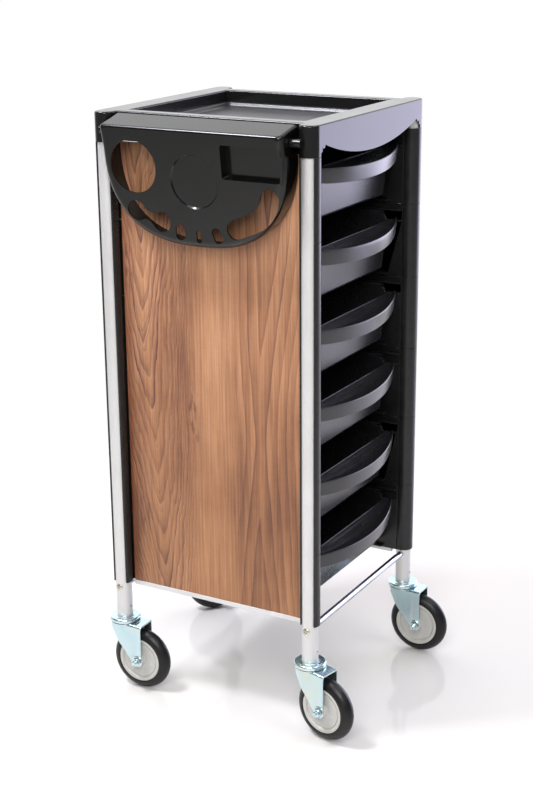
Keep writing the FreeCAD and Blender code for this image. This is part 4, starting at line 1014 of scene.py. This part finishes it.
    # through holes
    through = lambda pts: prism(pts, place, face - 3.0, face + 9.0)
    cut(ob, [through(circle(94.5, -42.5, 38.0, 80))])
    cut(ob, [through(round_rect(-9.5, -145.5, -1.5, -126.5, 3.4))])
    for outline in (
        capsule([(24.6, -128.4), (24.6, -136.6)], [7.8, 7.8]),
        capsule([(-34.6, -128.6), (-37.4, -136.4)], [7.4, 7.4]),
        capsule([(-123.5, -71.5), (-118.3, -87.0), (-102.5, -105.0), (-66.5, -121.0)], [13.4, 13.9, 14.2, 14.2]),
    ):
        cut(ob, [through(outline)])
    # two-lobed opening, drawn as one wavy outline
    lobes = []
    p, q, rad = Vector((95.5, -106.5)), Vector((55.0, -120.0)), 15.0
    d = (q - p).normalized()
    nrm = Vector((-d.y, d.x))
    dist = (q - p).length
    neck = 6.8
    half_d = dist / 2
    # fillet radius that touches both lobes and leaves the neck
    fr = (half_d ** 2 + neck ** 2 - rad ** 2) / (2 * (rad - neck))
    yc = neck + fr
    a0 = math.atan2(yc, half_d)
    pts = []

    def spot(u, v):
        w = p + d * u + nrm * v
        return (w.x, w.y)

    for i in range(29):
        t = a0 + (2 * math.pi - 2 * a0) * i / 28
        pts.append(spot(rad * math.cos(t), rad * math.sin(t)))
    # lower fillet, from the first lobe to the second
    s0 = math.atan2(yc, -half_d)
    for i in range(1, 10):
        t = s0 + (math.pi - 2 * (math.pi - s0) - 0) * 0
        f = i / 10
        ang = (math.pi - a0) - (math.pi - 2 * a0) * f
        pts.append(spot(half_d + fr * math.cos(ang), -yc + fr * math.sin(ang)))
    for i in range(29):
        t = -(math.pi - a0) + (2 * math.pi - 2 * a0) * i / 28
        pts.append(spot(dist + rad * math.cos(t), rad * math.sin(t)))
    for i in range(1, 10):
        f = i / 10
        ang = -a0 - (math.pi - 2 * a0) * f
        pts.append(spot(half_d + fr * math.cos(ang), yc + fr * math.sin(ang)))
    cut(ob, [through(pts)])
    soften(ob, 0.75, 3, 38, 40)
    return piece(ob, "tool_tray", TRAY, "black_plastic", "tool_tray")


tool_tray()


# ------------------------------------------------------------------ casters
def caster(tag):
    """Pressed fork, turned races, bolt, nut, wheel centre and tyre about the swivel axis of one post."""
    _, _, hub = span("hub_" + tag)
    s0, s1, stem = span("caster_stem_" + tag)
    swivel = Vector((stem.x, stem.y, 0))
    back = Vector((hub.x - swivel.x, hub.y - swivel.y, 0))
    trail = back.length / MM
    ly = -back.normalized()
    lx = Vector((ly.y, -ly.x, 0))
    up = Vector((0, 0, 1))
    zc = hub.z / MM

    def L(x, y, z):
        return swivel + lx * (x * MM) + ly * (y * MM) + up * (z * MM)

    body = "caster_" + tag
    # --- races and stem
    top = s1.z / MM
    ft = span("fork_" + tag)[1].z / MM - 1.2
    bm = bmesh.new()
    prof = [
        (-5.5, 0.0), (-5.5, 6.8), (-5.1, 7.6), (-3.4, 7.9), (-2.9, 7.4), (-2.8, 5.0), (5.4, 5.0), (5.4, 21.3), (5.2, 21.9),
        (1.3, 22.0), (1.15, 22.4), (1.15, 23.5), (1.35, 24.1), (1.9, 24.4), (4.5, 24.4), (5.7, 24.25), (6.7, 23.75),
        (7.35, 22.95), (7.6, 22.0), (7.5, 21.0), (7.1, 19.9), (6.8, 18.6), (6.6, 17.4), (6.6, 15.7), (6.85, 14.7), (7.3, 13.9),
        (7.5, 13.2), (7.5, 6.0), (top - ft, 6.0), (top - ft, 0.0),
    ]
    turned(bm, [(ft + h, r) for h, r in prof], L(0, 0, 0), up, lx, 72)
    ob = as_object("caster_race_" + tag, bm)
    soften(ob, 0, smooth=40)
    piece(ob, "cabinet", ZINC, "zinc_steel", "caster_stem_" + tag)

    # --- fork: bent sheet, cut to the side and plan outline
    w, th, rb = 18.0, 2.5, 3.6
    zt = ft
    outer = []
    inner = []
    for i in range(9):
        a = math.pi / 2 * i / 8
        outer.append((w - rb + rb * math.cos(a), zt - rb + rb * math.sin(a)))
        ri = rb - th
        inner.append((w - rb + ri * math.cos(a), zt - rb + ri * math.sin(a)))
    sec = [(w, 40.0)] + outer + [(-x, z) for x, z in reversed(outer)] + [(-w, 40.0), (-w + th, 40.0)]
    sec += [(-x, z) for x, z in inner] + list(reversed(inner)) + [(w - th, 40.0)]
    bm = bmesh.new()
    rings = []
    for y in (-39.6, -30.0, -23.0, 0.0, 17.5):
        drop = 0.0 if y > -23.5 else (-23.0 - y) * 0.0625
        rings.append([L(x, y, z - (drop if z > 90 else 0)) for x, z in sec])
    loft(bm, rings)
    ob = as_object("caster_fork_" + tag, bm)
    side = [
        (-38.3, ft + 0.6), (15.5, ft + 0.6), (15.4, ft - 2.5), (14.4, ft - 8.0), (9.6, ft - 18.5), (4.2, ft - 30.5),
        (0.8, ft - 35.6), (-2.8, ft - 39.6), (-14.0, ft - 54.6), (-19.2, 50.4), (-22.8, 47.3), (-25.2, 44.9), (-27.9, 43.3),
        (-31.1, 42.8), (-34.1, 43.3), (-36.5, 45.0), (-37.8, 47.6), (-38.2, 51.0), (-38.3, 60.0), (-38.3, 96.0),
    ]
    tool = prism(side, lambda d, u, v: L(d, u, v), -30.0, 30.0)
    cut(ob, [tool], "INTERSECT")
    plan = round_rect(-19.0, -38.6, 19.0, 15.6, [3.2, 3.2, 5, 5], 8)
    tool = prism(plan, lambda d, u, v: L(u, v, d), 30.0, 120.0)
    cut(ob, [tool], "INTERSECT")
    soften(ob, 0.45, 2, 34)
    # lower race and its raised seat
    bm = bmesh.new()
    prof = [
        (-2.4, 9.0), (-2.4, 21.6), (-2.1, 22.6), (-1.4, 23.25), (-0.6, 23.4), (-0.1, 23.15), (0.15, 22.5), (0.15, 20.4),
        (0.7, 19.6), (1.2, 18.8), (1.2, 9.0),
    ]
    wheel_rings(bm, [(ft + h, r) for h, r in prof], L(0, 0, 0), up, lx, 72)
    race = as_object("caster_lower_race_" + tag, bm)
    soften(race, 0, smooth=40)
    piece(ob, body, ZINC, "zinc_steel", "fork_" + tag)
    piece(race, body, ZINC, "zinc_steel")

    # --- bolt and nut: chamfered hexagons, washers and a threaded end
    def hexagon(x0, x1, name, node, end):
        bm = bmesh.new()
        sgn = 1 if x1 > x0 else -1
        r_out = 7.5
        rings = []
        for h, k in ((0.0, 0.0), (abs(x1 - x0) - 1.1, 0.0), (abs(x1 - x0), 1.05)):
            ring = []
            for i in range(36):
                a = 2 * math.pi * i / 36
                s = (a - math.pi / 6) % (math.pi / 3) - math.pi / 6
                rr = r_out * math.cos(math.pi / 6) / math.cos(s)
                if k:
                    rr = min(rr, r_out * math.cos(math.pi / 6) + 0.15) - k * 0.3
                ring.append(L(x0 + sgn * h, -trail + rr * math.cos(a + math.pi / 6), zc + rr * math.sin(a + math.pi / 6)))
            rings.append(ring)
        loft(bm, rings)
        c = L(0, -trail, zc)
        turned(
            bm,
            [(x0, 0), (x0, 8.9), (x0 + sgn * 0.4, 9.3), (x0 + sgn * 0.9, 9.3), (x0 + sgn * 1.2, 8.9), (x0 + sgn * 1.2, 0)],
            c, lx, up, 48,
        )
        if end:
            rows = [(x1 - sgn * 1.0, 0), (x1 - sgn * 1.0, 3.9)]
            h = 0.0
            while h < 4.4:
                rows += [(x1 + sgn * h, 3.95), (x1 + sgn * (h + 0.35), 3.45), (x1 + sgn * (h + 0.7), 3.95)]
                h += 0.8
            rows += [(x1 + sgn * 5.1, 3.9), (x1 + sgn * 5.4, 3.4), (x1 + sgn * 5.4, 2.1), (x1 + sgn * 4.9, 1.5), (x1 + sgn * 4.9, 0)]
            turned(bm, rows, c, lx, up, 32)
        else:
            turned(bm, [(x1 - sgn * 0.6, 0), (x1 - sgn * 0.6, 5.2), (x1, 5.0), (x1 + sgn * 0.25, 4.0), (x1 + sgn * 0.3, 0)], c, lx, up, 36)
            turned(bm, [(x0 - sgn * 1.0, 0), (x0 - sgn * 1.0, 4.0), (-x0, 4.0), (-x0 - sgn * 1.0, 4.0), (-x0 - sgn * 1.0, 0)], c, lx, up, 32)
        ob = as_object(name, bm)
        soften(ob, 0, smooth=30)
        piece(ob, body, ZINC, "zinc_steel", node)

    hexagon(18.05, 23.05, "axle_bolt_" + tag + "_turned", "axle_bolt_" + tag, False)
    hexagon(-18.05, -23.55, "axle_nut_" + tag + "_turned", "axle_nut_" + tag, True)

    # --- wheel centre
    c = L(0, -trail, zc)
    half = [
        (15.0, 4.1), (15.0, 8.2), (14.6, 8.8), (10.8, 10.2), (10.0, 11.2), (9.7, 12.6), (9.7, 27.6), (9.5, 28.3), (8.8, 28.6),
        (8.5, 29.1), (8.8, 29.6), (9.9, 30.2), (11.0, 30.9), (11.5, 31.7), (11.6, 32.6), (11.6, 35.2), (11.3, 35.8),
    ]
    prof = half + [(-h, r) for h, r in reversed(half)]
    bm = bmesh.new()
    wheel_rings(bm, prof, c, lx, up, 96)
    # moulded rivet-like marks round the rim ring
    for sgn in (-1, 1):
        for i in range(6):
            a = math.radians(60 * i + 12)
            o = c + ly * (math.cos(a) * 20.0 * MM) + up * (math.sin(a) * 20.0 * MM)
            turned(bm, [(sgn * 9.0, 0), (sgn * 9.0, 1.7), (sgn * 9.75, 1.55), (sgn * 9.95, 1.1), (sgn * 9.98, 0)], o, lx, up, 16)
    ob = as_object("wheel_centre_" + tag, bm)
    soften(ob, 0, smooth=32)
    piece(ob, "wheel_" + tag, HUB, "hub_plastic", "hub_" + tag)

    # --- tyre
    half = [(11.2, 36.0), (11.75, 36.4), (11.9, 37.2)]
    for i in range(0, 16):
        a = math.pi / 2 * i / 15
        half.append((11.9 * math.cos(a) ** 1.12, 37.6 + 12.4 * math.sin(a) ** 1.06))
    prof = half + [(-h, r) for h, r in reversed(half[:-1])]
    bm = bmesh.new()
    wheel_rings(bm, prof, c, lx, up, 120)
    ob = as_object("wheel_tyre_" + tag, bm)
    soften(ob, 0, smooth=60)
    piece(ob, "wheel_" + tag, RUBBER, "tyre_rubber", "tyre_" + tag)


for tag in TAGS:
    caster(tag)


# ------------------------------------------------------------------ CAD nodes that stay, with finished edges and materials
def keep(node, mat, slot, width=0.4, seg=2, smooth=34):
    ob = NODES[node]
    ob.data.materials.clear()
    ob.data.materials.append(mat)
    ob.data.polygons.foreach_set("material_index", [0] * len(ob.data.polygons))


def rebuilt(node, name, mat, slot, width=0.5, seg=2, body="cabinet", smooth=32):
    ob = as_object(name, from_node(node))
    soften(ob, width, seg, 34, smooth)
    return piece(ob, body, mat, slot, node)


for side in ("left", "right"):
    for level in range(1, 7):
        rebuilt("runner_%s_%d" % (side, level), "runner_shell_%s_%d" % (side, level), CLIP, "black_plastic", 0.5)
for tag in TAGS:
    rebuilt("post_" + tag, "tube_" + tag, TUBE, "tube_aluminium", 0.25)
for end in ("front", "rear"):
    rebuilt(end + "_rail", "rail_bar_" + end, CHROME, "chrome_steel", 0.0)


def rail_screws():
    """The four pan heads stand a little wider than their turned blanks, down to the tube's wall."""
    bm = from_node("rail_screws")
    rad = (span("post_front_left")[1].x - span("post_front_left")[0].x) / 2
    mid_z = span("rail_screws")[2].z
    for v in bm.verts:
        axis = min(POST.values(), key=lambda p: (p.x - v.co.x) ** 2 + (p.y - v.co.y) ** 2)
        if (v.co.x - axis.x) * (1 if axis.x > CX else -1) > rad:
            v.co.y = axis.y + (v.co.y - axis.y) * 1.22
            v.co.z = mid_z + (v.co.z - mid_z) * 1.22
    ob = as_object("rail_screw_heads", bm)
    soften(ob, 0.12, 2, 34, 32)
    return piece(ob, "cabinet", SCREW, "chrome_steel", "rail_screws")


rail_screws()
rebuilt("hinge_pins", "hinge_pin_pair", PIN, "chrome_steel", 0.3)
for node, mat, slot in (("stem_sockets", SLEEVE, "sleeve_plastic"), ("swivel_balls", CHROME, "chrome_steel")):
    rebuilt(node, node + "_set", mat, slot, 0.0, smooth=60)


# ------------------------------------------------------------------ studio
def studio():
    fwd = Vector((0.82807595, 0.46668072, -0.31064341)).normalized()
    roll = math.radians(-0.441)
    right = fwd.cross(Vector((0, 0, 1))).normalized()
    up = right.cross(fwd)
    r2 = right * math.cos(roll) + up * math.sin(roll)
    u2 = -right * math.sin(roll) + up * math.cos(roll)
    cam = bpy.data.cameras.new("camera")
    cam.sensor_fit = "AUTO"
    cam.sensor_width = 36.0
    cam.lens = 1545.481 / 800 * 36
    cam.shift_x = -(274.438 - 266.5) / 800
    cam.shift_y = (410.922 - 400.0) / 800
    cam.clip_end = 60
    co = bpy.data.objects.new("camera", cam)
    bpy.context.scene.collection.objects.link(co)
    loc = Vector((CX - 2.000317, CY - 1.143523, 1.190463))
    m = Matrix.Identity(4)
    for i, a in enumerate((r2, u2, -fwd)):
        for k in range(3):
            m[k][i] = a[k]
    m.translation = loc
    co.matrix_world = m
    bpy.context.scene.camera = co

    # glossy pale floor that ends behind the trolley
    heading = Vector((fwd.x, fwd.y, 0)).normalized()
    across = Vector((heading.y, -heading.x, 0))
    far = 3.42
    bm = bmesh.new()
    base = Vector((loc.x, loc.y, 0))
    corners = []
    n = 12
    rows = []
    for i in range(n + 1):
        row = []
        for k in range(n + 1):
            d = -6.0 + (far + 6.0) * i / n
            s = -7.0 + 14.0 * k / n
            row.append(bm.verts.new(base + heading * d + across * s + Vector((0, 0, -0.0002))))
        rows.append(row)
    for i in range(n):
        for k in range(n):
            bm.faces.new((rows[i][k], rows[i][k + 1], rows[i + 1][k + 1], rows[i + 1][k]))
    bmesh.ops.recalc_face_normals(bm, faces=bm.faces)
    me = bpy.data.meshes.new("studio_floor")
    bm.to_mesh(me)
    bm.free()
    floor = bpy.data.objects.new("studio_floor", me)
    bpy.context.scene.collection.objects.link(floor)
    t = Tree("studio_floor")
    slow = t.noise(1.2, 2.0, 0.5)
    col = t.mix(t.grey(slow, 0.0, 1.0, 0.3, 0.7), (0.715, 0.700, 0.668, 1), (0.735, 0.720, 0.688, 1))
    mat = t.set(Base_Color=col, Roughness=t.grey(slow, 0.06, 0.09, 0.3, 0.7))
    t.bsdf.inputs["Specular IOR Level"].default_value = 0.26
    t.bsdf.inputs["Emission Color"].default_value = (1.0, 0.998, 0.99, 1)
    # painted light: a little way from the trolley the floor glows for the camera and runs out into white
    away = t.node("ShaderNodeVectorMath", "Value", {"operation": "DISTANCE"}, i0=t.co, i1=(CX, CY, 0.0))
    painted_floor_glow = t.node("ShaderNodeMapRange", 0, {"interpolation_type": "SMOOTHSTEP"}, i0=away, i1=1.25, i2=2.5, i3=0.0, i4=0.85)
    seen_by = t.nt.nodes.new("ShaderNodeLightPath")
    t.put(t.bsdf.inputs["Emission Strength"], t.math("MULTIPLY", painted_floor_glow, seen_by.outputs["Is Camera Ray"]))
    me.materials.append(mat)

    # world: white for the camera, brighter where the studio walls are lit
    w = bpy.data.worlds.new("studio")
    bpy.context.scene.world = w
    w.use_nodes = True
    nt = w.node_tree
    nt.nodes.clear()
    out = nt.nodes.new("ShaderNodeOutputWorld")
    mixs = nt.nodes.new("ShaderNodeMixShader")
    path = nt.nodes.new("ShaderNodeLightPath")
    seen = nt.nodes.new("ShaderNodeBackground")
    seen.inputs[0].default_value = (1, 1, 1, 1)
    seen.inputs[1].default_value = 1.0
    lit = nt.nodes.new("ShaderNodeBackground")
    co_n = nt.nodes.new("ShaderNodeTexCoord")
    dot = nt.nodes.new("ShaderNodeVectorMath")
    dot.operation = "DOT_PRODUCT"
    nt.links.new(co_n.outputs["Generated"], dot.inputs[0])
    dot.inputs[1].default_value = (heading.x, heading.y, 0.25)
    rng = nt.nodes.new("ShaderNodeMapRange")
    nt.links.new(dot.outputs["Value"], rng.inputs[0])
    rng.interpolation_type = "SMOOTHSTEP"
    rng.inputs[1].default_value = 0.15
    rng.inputs[2].default_value = 0.95
    rng.inputs[3].default_value = 0.22
    rng.inputs[4].default_value = 1.55
    nt.links.new(rng.outputs[0], lit.inputs[1])
    lit.inputs[0].default_value = (0.985, 0.985, 1.0, 1)
    nt.links.new(path.outputs["Is Camera Ray"], mixs.inputs[0])
    nt.links.new(lit.outputs[0], mixs.inputs[1])
    nt.links.new(seen.outputs[0], mixs.inputs[2])
    nt.links.new(mixs.outputs[0], out.inputs[0])

    def area(name, pos, aim, w, h, power, col):
        li = bpy.data.lights.new(name, "AREA")
        li.shape = "RECTANGLE"
        li.size, li.size_y = w, h
        li.energy = power
        li.color = col
        o = bpy.data.objects.new(name, li)
        o.location = pos
        o.rotation_euler = (aim - pos).to_track_quat("-Z", "Y").to_euler()
        bpy.context.scene.collection.objects.link(o)
        return o

    mid = Vector((CX, CY, 0.5))
    area("key_softbox", mid + Vector((-2.1, -0.9, 1.5)), mid, 1.3, 1.5, 52, (1.0, 0.985, 0.965))
    area("front_softbox", mid + Vector((2.32, -1.35, 0.36)), mid + Vector((0, 0, 0.3)), 1.95, 1.66, 44, (0.75, 0.73, 1.0))
    area("front_top_softbox", mid + Vector((0.1, -1.3, 2.2)), mid, 1.2, 1.2, 22, (0.88, 0.88, 1.0))
    area("top_softbox", mid + Vector((-0.6, 0.75, 2.05)), mid, 1.4, 1.4, 14, (0.94, 0.94, 1.0))
    area("edge_softbox", mid + Vector((-0.79, 0.887, 1.97)), mid + Vector((-0.2, 0, 0.4)), 0.5, 0.5, 44, (0.92, 0.92, 1.0))
    sc = bpy.context.scene
    sc.view_settings.view_transform = "Standard"
    sc.view_settings.look = "None"
    sc.view_settings.exposure = 0.0
    sc.view_settings.gamma = 1.0


studio()

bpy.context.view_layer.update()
